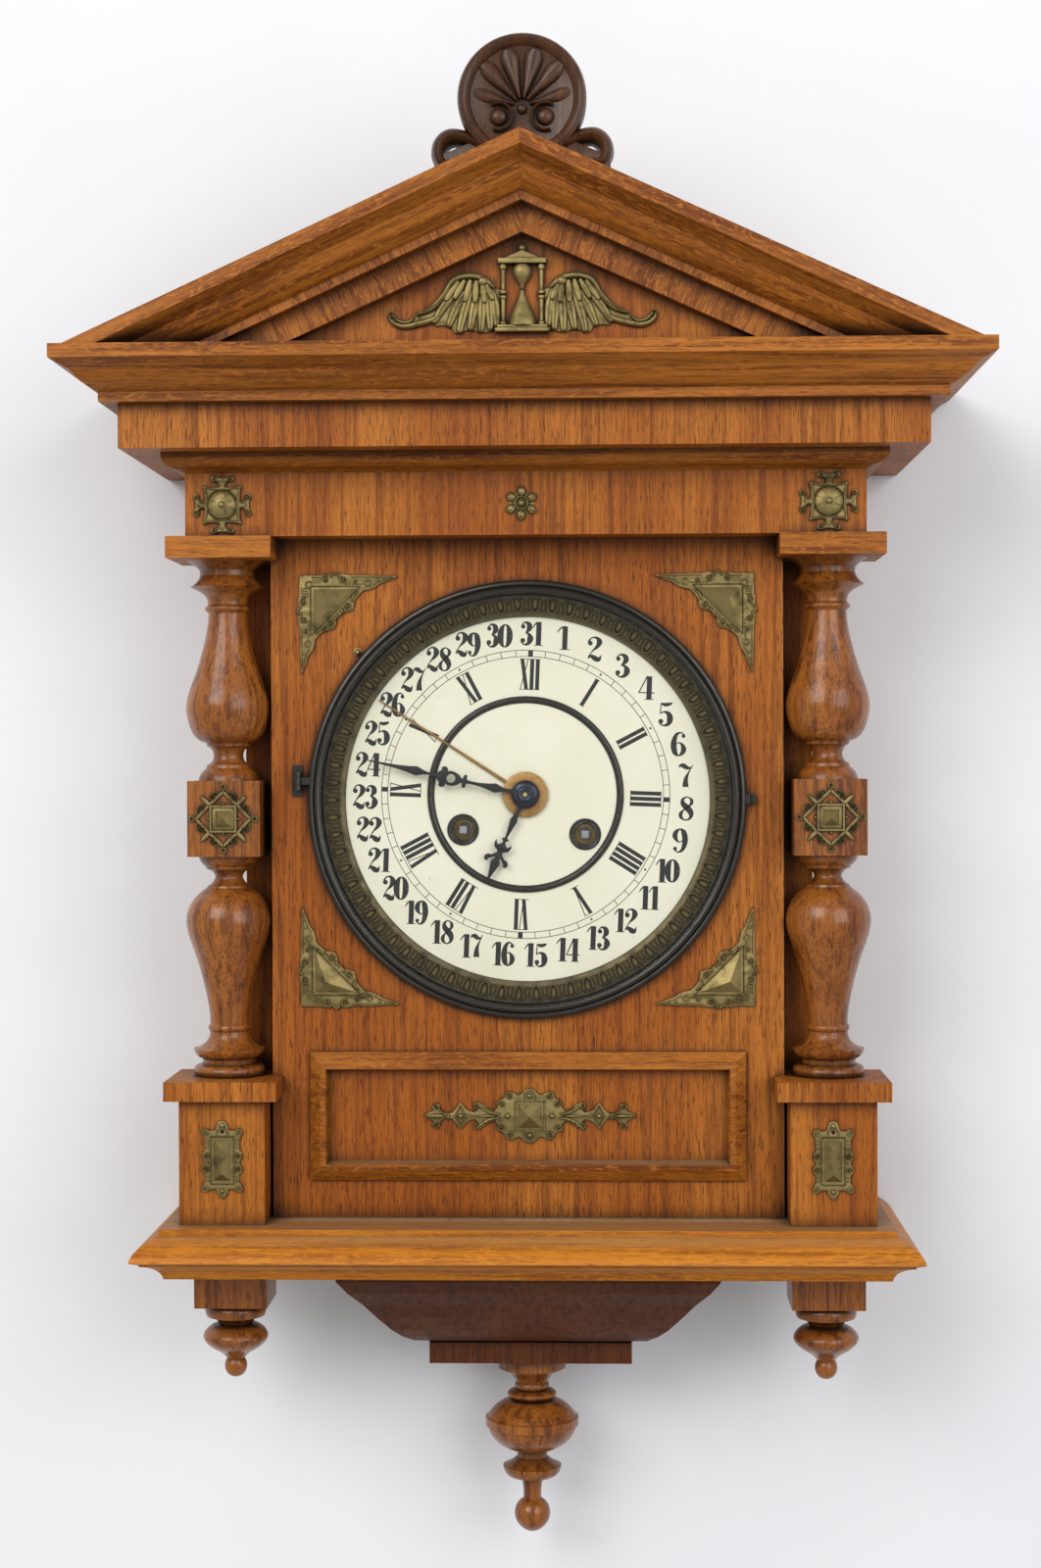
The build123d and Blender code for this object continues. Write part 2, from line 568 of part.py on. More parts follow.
def sight_ring():
    y = DIAL_FRONT
    out, high, low = HOLE_R - 0.8, PANEL_FRONT + 0.5, PANEL_FRONT + 7
    runs = [[(out, y), (out, high)], [(out, high), (out - 2, high)],
            [(out - 2, high), (SIGHT_R + 6.2, PANEL_FRONT + 3.2), (SIGHT_R + 2.9, low)],
            [(SIGHT_R + 2.9, low), (SIGHT_R + 0.7, low + 0.6)],
            [(SIGHT_R + 0.7, low + 0.6), (SIGHT_R, y - 0.3)],
            [(SIGHT_R, y - 0.3), (SIGHT_R, y)], [(SIGHT_R, y), (out, y)]]
    return turned_flat(runs, 0, DOOR_Z)


def at_dial(shape):
    return Pos(DIAL_X, 0, DIAL_Z) * (Rot(0, DIAL_TURN, 0) * shape)


def case_point(point):
    x, z = point
    turn = radians(DIAL_TURN)
    return DIAL_X + x * cos(turn) + z * sin(turn), DIAL_Z - x * sin(turn) + z * cos(turn)


def dial_plate():
    y = DIAL_FRONT
    face = Circle(HOLE_R + 11) - Circle(DATE_R + 0.6)
    for x in (-WIND_X, WIND_X):
        face -= Pos(x, WIND_Z) * Circle(7)
    return at_dial(flat(face, y, y + DIAL_T))


def inner_ring():
    y = DIAL_FRONT
    return at_dial(ring(0, 0, 51.4, 47.8, y - 0.8, y))


def grommets():
    y = DIAL_FRONT
    rings = []
    for x in (-WIND_X, WIND_X):
        collar = ring(x, WIND_Z, 8.3, 5.2, y - 1.2, y) + ring(x, WIND_Z, 6.9, 5.2, y - 1.2, y + DIAL_T)
        rings.append(at_dial(collar))
    return rings


# Gears
def gear_points(teeth, module, phase=0.0):
    r = teeth * module / 2
    steps = [(r - 1.15 * module, 0.625), (r, 0.5), (r + 0.7 * module, 0.3)]
    pitch = 2 * pi / teeth
    points = []
    for k in range(teeth):
        base = phase + k * pitch
        for radius, part in steps:
            points.append((radius, base - part * TOOTH * pitch))
        for radius, part in reversed(steps):
            points.append((radius, base + part * TOOTH * pitch))
    return [(q * cos(t), q * sin(t)) for q, t in points]


def gear_face(teeth, module, phase=0.0, hole=0.0, at=(0, 0), window=True):
    face = polygon(gear_points(teeth, module, phase))
    r = teeth * module / 2
    if window and r > 8:
        ring_in, ring_out = max(hole + 2.2, r * 0.28), r - 1.15 * module - 1.6
        gap = Circle(ring_out) - Circle(ring_in)
        for k in range(4):
            gap -= Rot(0, 0, 90 * k + 45) * Rectangle(max(1.6, r * 0.12), 2.4 * r)
        face -= gap
    if hole:
        face -= Circle(hole)
    return Pos(*at) * face


def meet(teeth_a, phase_a, at_a, teeth_b, at_b):
    towards = atan2(at_b[1] - at_a[1], at_b[0] - at_a[0])
    return towards + pi - (phase_a - towards) * teeth_a / teeth_b + pi / teeth_b


def third_corner(p, q, dist_p, dist_q, side):
    span = hypot(q[0] - p[0], q[1] - p[1])
    angle = acos((dist_p ** 2 + span ** 2 - dist_q ** 2) / (2 * dist_p * span))
    turn = atan2(q[1] - p[1], q[0] - p[0]) + side * angle
    return (p[0] + dist_p * cos(turn), p[1] + dist_p * sin(turn))


C = (0.0, 0.0)
G = (WIND_X, WIND_Z)
S = (-WIND_X, WIND_Z)
I = third_corner(G, C, (GREAT + INTER_PINION) * M_GREAT / 2, (INTER_WHEEL + CENTRE_PINION) * M_INTER / 2,
                 -1)
T_DIST = (CENTRE_WHEEL + THIRD_PINION) * M_CENTRE / 2
T = (T_DIST * cos(radians(115)), T_DIST * sin(radians(115)))
E_DIST = (THIRD_WHEEL + ESCAPE_PINION) * M_THIRD / 2
E = (0.0, T[1] + (E_DIST ** 2 - T[0] ** 2) ** 0.5)
V = (E[0], E[1] + 17.0)
MW = ((CANNON + MINUTE_WHEEL) * M_MOTION / 2 * cos(radians(20)),
      (CANNON + MINUTE_WHEEL) * M_MOTION / 2 * sin(radians(20)))
M_HOUR = (CANNON + MINUTE_WHEEL) * M_MOTION / (MINUTE_PINION + HOUR_WHEEL)
N_DIST = (HOUR_DATE + DAY_WHEEL) * M_DAY / 2
N_TURN = radians(120)
N = (N_DIST * cos(N_TURN), N_DIST * sin(N_TURN))
LIFT_TEETH = 14
S_DIST = (GREAT + LIFT_TEETH) * M_GREAT / 2
PINW = (S[0] + S_DIST * cos(radians(115)), S[1] + S_DIST * sin(radians(115)))
HAM = (-55.0, -33.5)
PEND_Y = -30.0
BOB_DROP = 160.0
HEAD_Z = -165.0
PILLARS = [(-53, 62), (53, 62), (-53, -45), (53, -45)]

PH_C = 0.0
PH_CW = 0.0
PH_I = meet(CENTRE_PINION, PH_C, C, INTER_WHEEL, I)
PH_IP = 0.0
PH_G = meet(INTER_PINION, PH_IP, I, GREAT, G)
PH_TP = meet(CENTRE_WHEEL, PH_CW, C, THIRD_PINION, T)
PH_TW = 0.0
PH_EP = meet(THIRD_WHEEL, PH_TW, T, ESCAPE_PINION, E)
PH_MW = meet(CANNON, 0.0, C, MINUTE_WHEEL, MW)
PH_MP = 0.0
PH_HW = meet(MINUTE_PINION, PH_MP, MW, HOUR_WHEEL, C)
PH_N = meet(HOUR_DATE, 0.0, C, DAY_WHEEL, N)
PH_SP = meet(GREAT, 0.0, S, LIFT_TEETH, PINW)


def plate_holes():
    return [(C, 1.6), (G, 3.2), (S, 3.2), (I, 1.4), (T, 1.0), (E, 0.8), (V, 1.0), (PINW, 1.2), (HAM, 1.4)]


def front_plate():
    face = Pos(0, 9) * RectangleRounded(116, 116, 4)
    for (x, z), r in plate_holes():
        face -= Pos(x, z) * Circle(r + RUN)
    face -= Pos(*MW) * Circle(1.2)
    face -= Pos(*N) * Circle(1.2)
    return at_dial(flat(face, FP0, FP1))


def rear_plate():
    face = Pos(0, 9) * RectangleRounded(116, 116, 4)
    for (x, z), r in plate_holes():
        face -= Pos(x, z) * Circle(r + RUN)
    return at_dial(flat(face, RP0, RP1))


def pillars():
    out = []
    for x, z in PILLARS:
        post = disc(x, z, 3, FP1, RP0)
        out.append(at_dial(post))
    return out


def seat_feet():
    out = []
    for x, z in PILLARS:
        out.append(at_dial(disc(x, z, 3, DIAL_FRONT + DIAL_T, FP0)))
    for x in (-1, 1):
        out.append(box(x * 38 - 4, x * 38 + 4, RP1, -BOARD_T, -64, -56))
    return out


def studs():
    out = []
    for (x, z), y in ((MW, -77.4), (N, -82.0)):
        out.append(at_dial(disc(x, z, 1.2, y, FP1)))
    return out


def great_wheel(at, phase, y0):
    wheel = flat(gear_face(GREAT, M_GREAT, phase, 3.2 + RUN, at), y0, y0 + 2)
    return wheel


def winding_arbor(at, y_ratchet):
    x, z = at
    body = disc(x, z, 3.2, FP0 - 2, RP1 + 3)
    body += flat(Pos(x, z) * Rectangle(3.8, 3.8), DIAL_FRONT + 1.5, FP0 - 2)
    teeth = []
    for k in range(24):
        a = 2 * pi * k / 24
        teeth += [(9.0 * cos(a), 9.0 * sin(a)), (7.8 * cos(a + 0.05), 7.8 * sin(a + 0.05))]
    body += flat(Pos(x, z) * polygon(teeth), y_ratchet, y_ratchet + 1.4)
    return at_dial(body)


def mainspring(at, y0, y1):
    turns, inner, outer = 7, 3.5, 19.0
    inside, outside = [], []
    for k in range(turns * 20 + 1):
        a = 2 * pi * k / 20
        r = inner + (outer - inner) * k / (turns * 20)
        inside.append((r * cos(a), r * sin(a)))
        outside.append(((r + 0.5) * cos(a), (r + 0.5) * sin(a)))
    face = polygon(inside + list(reversed(outside)))
    return at_dial(flat(Pos(*at) * face, y0, y1))


def arbor(at, r, y0, y1):
    return disc(at[0], at[1], r, y0, y1)


def intermediate():
    shape = arbor(I, 1.4, FP0, RP1) + flat(gear_face(INTER_PINION, M_GREAT, PH_IP, 0, I, False), -65, -61)
    shape += flat(gear_face(INTER_WHEEL, M_INTER, PH_I, 1, I), -41.6, -40.2)
    return at_dial(shape)


def centre_arbor():
    shape = arbor(C, 1.6, FP0 - 0.6, RP1) + flat(gear_face(CENTRE_PINION, M_INTER, PH_C, 0, C, False),
                                                 -42.2, -39.4)
    shape += flat(gear_face(CENTRE_WHEEL, M_CENTRE, PH_CW, 1, C), -67.2, -66)
    shape += arbor(C, PIPE - RUN, MINUTE_HAND - 1.5, FP0 - 0.6)
    return at_dial(shape)


def third_arbor():
    shape = arbor(T, 1.0, FP0, RP1) + flat(gear_face(THIRD_PINION, M_CENTRE, PH_TP, 0, T, False), -67.6,
                                           -65.2)
    shape += flat(gear_face(THIRD_WHEEL, M_THIRD, PH_TW, 0.8, T), -55, -54)
    return at_dial(shape)


def escape_arbor():
    shape = arbor(E, 0.8, FP0, RP1) + flat(gear_face(ESCAPE_PINION, M_THIRD, PH_EP, 0, E, False), -56.4,
                                           -52.6)
    teeth = []
    for k in range(ESCAPE_WHEEL):
        a = 2 * pi * k / ESCAPE_WHEEL
        teeth += [(9.6 * cos(a - 0.09), 9.6 * sin(a - 0.09)), (11 * cos(a), 11 * sin(a)),
                  (9.6 * cos(a + 0.03), 9.6 * sin(a + 0.03))]
    face = polygon(teeth) - (Circle(8.2) - Circle(3) - Rectangle(1.6, 20) - Rectangle(20, 1.6))
    shape += flat(Pos(*E) * face, -47, -46)
    return at_dial(shape)


def verge():
    x, z = V
    drop = V[1] - E[1]
    shape = arbor(V, 1.0, FP0, RP1 + 4)
    for side in (-1, 1):
        hook = [(0, 1.6), (side * 9.6, -5.5), (side * 9.6, -drop + 10), (side * 8, -drop + 10.6),
                (side * 7.6, -6.2), (0, -1.6)]
        shape += flat(Pos(x, z) * polygon(hook), -47.4, -45.6)
    shape = at_dial(shape)
    x, z = case_point(V)
    shape += box(x - 0.8, x + 0.8, RP1 + 1, RP1 + 2.2, z - 36.4, z)
    fork = box(x - 2.6, x + 2.6, RP1 + 1, PEND_Y + 3, z - 36.8, z - 36)
    fork -= box(x - 1.3, x + 1.3, PEND_Y - 1.4, PEND_Y + 1.8, z - 38, z - 34)
    return shape + fork


def suspension_cock():
    x, z = case_point(V)
    arm = box(x - 4, x + 4, RP1, PEND_Y + 3, z + 5, z + 10)
    return arm - box(x - 1.2, x + 1.2, PEND_Y - 2.4, PEND_Y + 3.5, z + 4, z + 8)


def pendulum():
    px, pz = case_point(V)
    spring = box(px - 0.1, px + 0.1, PEND_Y - 1.5, PEND_Y + 1.5, pz - 8, pz + 6)
    rod_length = BOB_DROP + 18
    rod = Pos(px, PEND_Y, pz - 8 - rod_length / 2) * Cylinder(0.9, rod_length)
    clip = box(px - 1.6, px + 1.6, PEND_Y - 1.6, PEND_Y + 1.6, pz - 14, pz - 7)
    runs = [[(0, -4), (14, -3.4)], [(14, -3.4), (19, -1.6), (20, 0), (19, 1.6), (14, 3.4)],
            [(14, 3.4), (0, 4)]]
    bob = Pos(px, PEND_Y, pz - BOB_DROP) * revolve(face_of(runs), Axis.Y, 360)
    nut = Pos(px, PEND_Y, pz - BOB_DROP - 21.2) * Cylinder(3.4, 2.4)
    return spring + clip + rod, bob + nut - Pos(px, PEND_Y, pz - BOB_DROP) * Cylinder(0.9, 60)


def strike_pinwheel():
    shape = arbor(PINW, 1.2, FP0, RP1)
    shape += flat(gear_face(LIFT_TEETH, M_GREAT, PH_SP, 0, PINW, False), -44.4, -39.6)
    shape += disc(PINW[0], PINW[1], 8.0, -67.2, -66)
    for k in range(8):
        a = 2 * pi * k / 8
        shape += disc(PINW[0] + 6.6 * cos(a), PINW[1] + 6.6 * sin(a), 0.6, -66, -63.4)
    return at_dial(shape)


def hammer():
    hx, hz = case_point(HAM)
    shape = disc(hx, hz, 1.4, FP0, -14)
    shape += box(hx - 1, hx + 1, -16.6, -14.6, HEAD_Z, hz)
    reach = -40.9 - hx + 3
    shape += Pos(hx - 3 + reach / 2, -15.7, HEAD_Z) * (Rot(0, 90, 0) * Cylinder(3.6, reach))
    return shape


def gong():
    wire = 2.6
    turns = 3.5
    inside, outside = [], []
    for k in range(int(turns * 36) + 1):
        a = pi + 2 * pi * k / 36
        r = 38.0 - 6.2 * k / 36
        inside.append(((r - wire / 2) * cos(a), (r - wire / 2) * sin(a)))
        outside.append(((r + wire / 2) * cos(a), (r + wire / 2) * sin(a)))
    coil = flat(Pos(0, HEAD_Z) * polygon(inside + list(reversed(outside))), -17, -14.4)
    end_r = 38.0 - 6.2 * turns
    return coil + box(-4, end_r + 1, -17, -14.4, HEAD_Z - 1.3, HEAD_Z + 1.3)


def gong_stand():
    post = disc(0, HEAD_Z, 5, -14.4, -BOARD_T)
    return post + box(-9, 9, -11, -BOARD_T, HEAD_Z - 24, HEAD_Z + 9)


# Motion work and hands
def hand_face(points):
    return polygon(points + [(-x, y) for x, y in reversed(points)])


def minute_hand():
    tip = SIGHT_R - 10
    side = [(3.6, 6), (1.6, 12), (1.3, 34), (3.2, 38), (6.4, 43), (6.4, 50), (3, 54), (1.4, 58), (3.4, 63),
            (4.4, 67), (2.6, 71), (0.9, tip - 6), (0.35, tip)]
    face = hand_face(side) + Circle(7.2)
    for x in (-1, 1):
        face -= Pos(x * 3.5, 46.6) * Ellipse(1.7, 3.6)
        face -= Pos(x * 1.9, 66.6) * Ellipse(0.9, 2)
    return face


def hour_hand():
    tip = 50.0
    side = [(5, 7), (2.2, 12), (1.8, 18), (4, 21), (7.6, 25), (7.6, 31), (3.8, 35), (1.6, 37), (3.2, 40),
            (3.6, 42.5), (1.4, 46), (0.4, tip)]
    face = hand_face(side) + Circle(7.6)
    for x in (-1, 1):
        face -= Pos(x * 4.2, 28) * Ellipse(2, 3.6)
    return face


def turned_hand(face, angle, front, hole):
    body = flat(Rot(0, 0, -angle) * face, front, front + HAND_T)
    return at_dial(body - disc(0, 0, hole, front - 1, front + 2))


MINUTE_ANGLE = 282.5 - DIAL_TURN
HOUR_ANGLE = 204.0 - DIAL_TURN
DATE_ANGLE = 303.0 - DIAL_TURN


def cannon():
    shape = flat(gear_face(CANNON, M_MOTION, 0, PIPE, C, False), -73.4, -71)
    shape += ring(0, 0, CANNON_R, PIPE, MINUTE_HAND, -73.4)
    return at_dial(shape)


def minute_wheel():
    shape = flat(gear_face(MINUTE_WHEEL, M_MOTION, PH_MW, 1.2 + RUN, MW), -73, -71.8)
    shape += flat(gear_face(MINUTE_PINION, M_HOUR, PH_MP, 1.2 + RUN, MW, False), -76.6, -73)
    return at_dial(shape)


def hour_wheel():
    shape = flat(gear_face(HOUR_WHEEL, M_HOUR, PH_HW, CANNON_R + RUN, C), -75.6, -74.4)
    shape += flat(gear_face(HOUR_DATE, M_DAY, 0, CANNON_R + RUN, C, False), -79, -77.6)
    shape += ring(0, 0, HOUR_R, CANNON_R + RUN, HOUR_HAND, -74.4)
    return at_dial(shape)


def day_wheel():
    shape = flat(gear_face(DAY_WHEEL, M_DAY, PH_N, 1.2 + RUN, N), -78.8, -77.8)
    shape += disc(N[0] + 7.3 * cos(N_TURN), N[1] + 7.3 * sin(N_TURN), 0.5, -82.6, -78.8)
    return at_dial(shape)


def date_wheel():
    teeth = []
    for k in range(DATE_WHEEL):
        a = 2 * pi * k / DATE_WHEEL + N_TURN
        teeth += [(13.8 * cos(a), 13.8 * sin(a)), (16 * cos(a + 0.1), 16 * sin(a + 0.1))]
    shape = flat(polygon(teeth) - Circle(HOUR_R + RUN), -82.4, -81.4)
    shape += ring(0, 0, DATE_R, HOUR_R + RUN, DATE_HAND + HAND_T, -81.4)
    return at_dial(shape)


def date_hand():
    tip = SIGHT_R - 4.7
    face = polygon([(-1.1, 0), (1.1, 0), (0.55, tip - 4.6), (0, tip), (-0.55, tip - 4.6)]) + Circle(11.9)
    return turned_hand(face, DATE_ANGLE, DATE_HAND, HOUR_R + RUN)


def hand_nut():
    return at_dial(flat(RegularPolygon(7.0, 6) - Circle(PIPE), MINUTE_HAND - 1.1, MINUTE_HAND))


save("backboard", backboard())
save("hanger_plate", hanger_plate())
save("case_sides", both(case_side()))
save("front_panel", front_panel())
save("panel_frame", panel_frame())
save("case_floor", case_floor())
save("case_top", case_top())
save("frieze_lower", [frieze_lower(), frieze_soffit()])
save("bed_moulding", bed_moulding())
save("frieze_upper", frieze_upper())
save("cornice", cornice())
save("raking_cornices", both(raking_cornice()))
save("tympanum", [tympanum(), pediment_back()])
save("crest_shell", crest_shell())
save("columns", both(column()))
save("column_capitals", both(corner_slab(4.9, ABACUS_LOW, ABACUS_TOP)))
save("pedestals", both(corner_slab(6.8, CAP_LOW, CAP_TOP)) + both(corner_slab(0, BASE_TOP, CAP_LOW)))
save("base_moulding", base_moulding())
save("apron", [apron(), box(-54, 54, FRONT + 56, 0, PLATE_LOW, APRON_LOW)])
save("finial_centre", finial_centre())
save("finials_side", both(finial_side()))
save("corner_mounts", corner_mounts())
save("frieze_rosettes", frieze_rosettes())
save("column_mounts", [column_mount(-COL_X), column_mount(COL_X)])
save("pedestal_mounts", [pedestal_mount(-COL_X), pedestal_mount(COL_X)])
save("panel_mount", panel_mount())
save("winged_hourglass", winged_hourglass())
save("bezel", bezel())
save("glass", glass())
save("glass_retainer", glass_retainer())
save("door_fittings", [hinge_leaf(), catch()])
save("sight_ring", sight_ring())
save("dial_plate", dial_plate())
save("dial_brasses", [inner_ring()] + grommets())
save("movement_plates", [front_plate(), rear_plate()])
save("movement_pillars", pillars() + seat_feet() + studs() + [suspension_cock()])
save("time_great_wheel", at_dial(great_wheel(G, PH_G, -64)))
save("strike_great_wheel", at_dial(great_wheel(S, 0.0, -43)))
save("time_winding_arbor", winding_arbor(G, -61.6))
save("strike_winding_arbor", winding_arbor(S, -45.6))
save("mainsprings", [mainspring(G, -59, -44), mainspring(S, -62, -47.4)])
save("intermediate_arbor", intermediate())
save("centre_arbor", centre_arbor())
save("third_arbor", third_arbor())
save("escape_arbor", escape_arbor())
save("verge", verge())
rod, bob = pendulum()
save("pendulum_rod", rod)
save("pendulum_bob", bob)
save("strike_pinwheel", strike_pinwheel())
save("hammer", hammer())
save("gong", [gong(), gong_stand()])
save("cannon_pinion", cannon())
save("minute_wheel", minute_wheel())
save("hour_wheel", hour_wheel())
save("day_wheel", day_wheel())
save("date_wheel", date_wheel())
save("minute_hand", turned_hand(minute_hand(), MINUTE_ANGLE, MINUTE_HAND, CANNON_R))
save("hour_hand", turned_hand(hour_hand(), HOUR_ANGLE, HOUR_HAND, HOUR_R))
save("date_hand", date_hand())
save("hand_nut", hand_nut())
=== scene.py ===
import json
import math

import bmesh
import bpy
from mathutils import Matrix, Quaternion, Vector

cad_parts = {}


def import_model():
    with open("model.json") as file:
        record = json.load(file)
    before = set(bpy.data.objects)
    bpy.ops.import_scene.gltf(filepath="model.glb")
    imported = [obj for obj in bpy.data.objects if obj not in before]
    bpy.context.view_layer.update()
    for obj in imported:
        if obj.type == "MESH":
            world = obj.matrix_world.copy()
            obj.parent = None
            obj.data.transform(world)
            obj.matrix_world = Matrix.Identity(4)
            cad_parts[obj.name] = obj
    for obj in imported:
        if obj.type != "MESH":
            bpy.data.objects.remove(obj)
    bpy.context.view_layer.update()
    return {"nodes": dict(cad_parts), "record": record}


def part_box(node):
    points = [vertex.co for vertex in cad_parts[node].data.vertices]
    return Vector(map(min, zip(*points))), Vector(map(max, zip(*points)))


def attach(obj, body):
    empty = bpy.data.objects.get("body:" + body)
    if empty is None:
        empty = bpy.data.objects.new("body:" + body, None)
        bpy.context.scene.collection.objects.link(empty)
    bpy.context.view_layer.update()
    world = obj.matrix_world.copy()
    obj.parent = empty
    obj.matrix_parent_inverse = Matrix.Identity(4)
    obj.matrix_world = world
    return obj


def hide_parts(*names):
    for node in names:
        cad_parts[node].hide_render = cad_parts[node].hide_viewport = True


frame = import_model()

MM = 0.001
# Heights of the clock's parts are written from the eye line of the picture; this is its own height
EYE = -165.0

# Camera, in millimetres and degrees, and the picture's size in pixels
CAMERA_PLACE = (40.3, -1411.3, -165.0)
CAMERA_LEFT, CAMERA_DOWN, CAMERA_ROLL = 1.896, 0.541, 0.203
PICTURE_LONG, FOCAL_PIXELS = 1600, 2583.9
SENSOR = 36.0

# Sizes shared with the solid parts, in millimetres
FRIEZE_Y, PANEL_Y, DIAL_Y = -120.0, -96.0, -86.0
COLUMN_X, COLUMN_FACE_Y = 156.0, -111.75
DIAL_X, DIAL_Z, DIAL_TURN = -1.0, -18.0, 2.3
DOOR_Z = -20.5
# The pediment's slope in degrees, and the height of its flat band measured square to the slope
SLOPE, BAND_UP = 24.6, 106.8
# Places of the mounts: across and up, or up alone
CORNER_X, CORNER_TOP, CORNER_LOW = 118, 96.5, -128
FRIEZE_MOUNT_Z, ROSETTE_X, FLOWER_X = 130.9, 154.5, -1.5
COLUMN_MOUNT_Z, PEDESTAL_MOUNT_Z = -29.8, -204.6
PANEL_MOUNT_AT, PANEL_PIN_AT = (1.0, -185), (-87.8, 56.4)
HOURGLASS_AT, TYMPANUM_Y = (0, 236), -140
CREST_AT, CREST_Y = (0, 332.8), -128
# The three hands: height of the back of each off zero, and degrees clockwise from twelve
MINUTE_Y, HOUR_Y, DATE_Y = -91.3, -89.8, -87.4
MINUTE_TURN, HOUR_TURN, DATE_TURN = 282.5, 204.0, 303.0
# The wall stands just behind the case and reaches this far each way, in metres
WALL_Y, WALL_REACH = 0.0015, 3.0

# Colours are linear
OAK_MID, OAK_LIGHT, OAK_DEEP = (0.315, 0.083, 0.007), (0.45, 0.150, 0.018), (0.105, 0.021, 0.002)
# The first colour is painted shade for recesses; the second is dust on upward faces
RECESS_SHADE, DUST = (0.014, 0.005, 0.002), (0.24, 0.18, 0.11)


def srgb(r, g, b):
    return tuple(((c / 255) ** 2.2) for c in (r, g, b)) + (1.0,)


# Shader building
class Shader:
    def __init__(self, name):
        self.material = bpy.data.materials.new(name)
        self.material.use_nodes = True
        self.tree = self.material.node_tree
        self.tree.nodes.clear()
        self.out = self.add("ShaderNodeOutputMaterial")
        self.body = self.add("ShaderNodeBsdfPrincipled")
        self.join(self.body.outputs[0], self.out.inputs["Surface"])

    def add(self, kind, **settings):
        node = self.tree.nodes.new(kind)
        for key, value in settings.items():
            setattr(node, key, value)
        return node

    def join(self, a, b):
        self.tree.links.new(a, b)

    def put(self, socket, value):
        if isinstance(value, (int, float)):
            socket.default_value = value
        elif isinstance(value, tuple):
            socket.default_value = value if len(value) == len(socket.default_value) else (*value, 1.0)
        else:
            self.join(value, socket)

    def math(self, operation, a, b=0.0):
        node = self.add("ShaderNodeMath", operation=operation)
        self.put(node.inputs[0], a)
        self.put(node.inputs[1], b)
        return node.outputs[0]

    def times(self, a, b):
        return self.math("MULTIPLY", a, b)

    def mix(self, factor, a, b):
        node = self.add("ShaderNodeMix", data_type="RGBA")
        self.put(node.inputs["Factor"], factor)
        self.put(node.inputs[6], a)
        self.put(node.inputs[7], b)
        return node.outputs[2]

    def ramp(self, value, low, high):
        node = self.add("ShaderNodeMapRange", interpolation_type="SMOOTHSTEP")
        self.put(node.inputs[0], value)
        node.inputs[1].default_value = low
        node.inputs[2].default_value = high
        return node.outputs[0]

    def place(self):
        return self.add("ShaderNodeTexCoord").outputs["Object"]

    def stretch(self, vector, scale):
        node = self.add("ShaderNodeMapping")
        self.join(vector, node.inputs[0])
        node.inputs[3].default_value = scale
        return node.outputs[0]

    def noise(self, vector, scale, detail=3.0, rough=0.5, bend=0.0):
        node = self.add("ShaderNodeTexNoise")
        self.join(vector, node.inputs["Vector"])
        node.inputs["Scale"].default_value = scale
        node.inputs["Detail"].default_value = detail
        node.inputs["Roughness"].default_value = rough
        node.inputs["Distortion"].default_value = bend
        return node.outputs[0]

    # Ambient occlusion, which the materials use to paint shade into recesses
    def nook(self, reach):
        node = self.add("ShaderNodeAmbientOcclusion", samples=6)
        node.inputs["Distance"].default_value = reach
        return node.outputs["AO"]

    def bump(self, height, depth, strength):
        node = self.add("ShaderNodeBump")
        node.inputs["Strength"].default_value = strength
        node.inputs["Distance"].default_value = depth
        self.put(node.inputs["Height"], height)
        return node.outputs[0]

    def choose(self, test, no, yes):
        node = self.add("ShaderNodeMix", data_type="FLOAT")
        self.join(test, node.inputs[0])
        self.join(no, node.inputs[2])
        self.join(yes, node.inputs[3])
        return node.outputs[0]

    def normal(self):
        split = self.add("ShaderNodeSeparateXYZ")
        self.join(self.add("ShaderNodeNewGeometry").outputs["Normal"], split.inputs[0])
        return split.outputs

    def blend(self, share, shader, other):
        """Show a mix of two shaders as the surface."""
        mixed = self.add("ShaderNodeMixShader")
        for value, socket in zip((share, shader, other), mixed.inputs):
            self.join(value, socket)
        self.join(mixed.outputs[0], self.out.inputs["Surface"])

    def finish(self, **sockets):
        for name, value in sockets.items():
            self.put(self.body.inputs[name.replace("_", " ")], value)
        return self.material


def axes(s, along):
    """Place with the grain direction last: z upright, x along the front and back along the returns."""
    split = s.add("ShaderNodeSeparateXYZ")
    s.join(s.place(), split.inputs[0])
    x, y, z = split.outputs
    join = s.add("ShaderNodeCombineXYZ")
    if along == "upright":
        parts = (x, y, z)
    elif along == "level":
        side = s.math("GREATER_THAN", s.math("ABSOLUTE", s.normal()[0]), 0.7)
        parts = (z, s.choose(side, y, x), s.choose(side, x, y))
    else:
        cos, sin = math.cos(math.radians(SLOPE)), math.sin(math.radians(SLOPE))
        flat = s.math("ABSOLUTE", x)
        run = s.math("SUBTRACT", s.times(flat, cos), s.times(z, sin))
        up = s.math("ADD", s.times(flat, sin), s.times(z, cos))
        shifted = s.math("ADD", y, s.times(s.math("SIGN", x), 0.4))
        band = s.math("LESS_THAN", up, BAND_UP * MM)
        parts = (s.choose(band, up, run), shifted, s.choose(band, run, up))
    for part, socket in zip(parts, join.inputs):
        s.join(part, socket)
    return join.outputs[0]


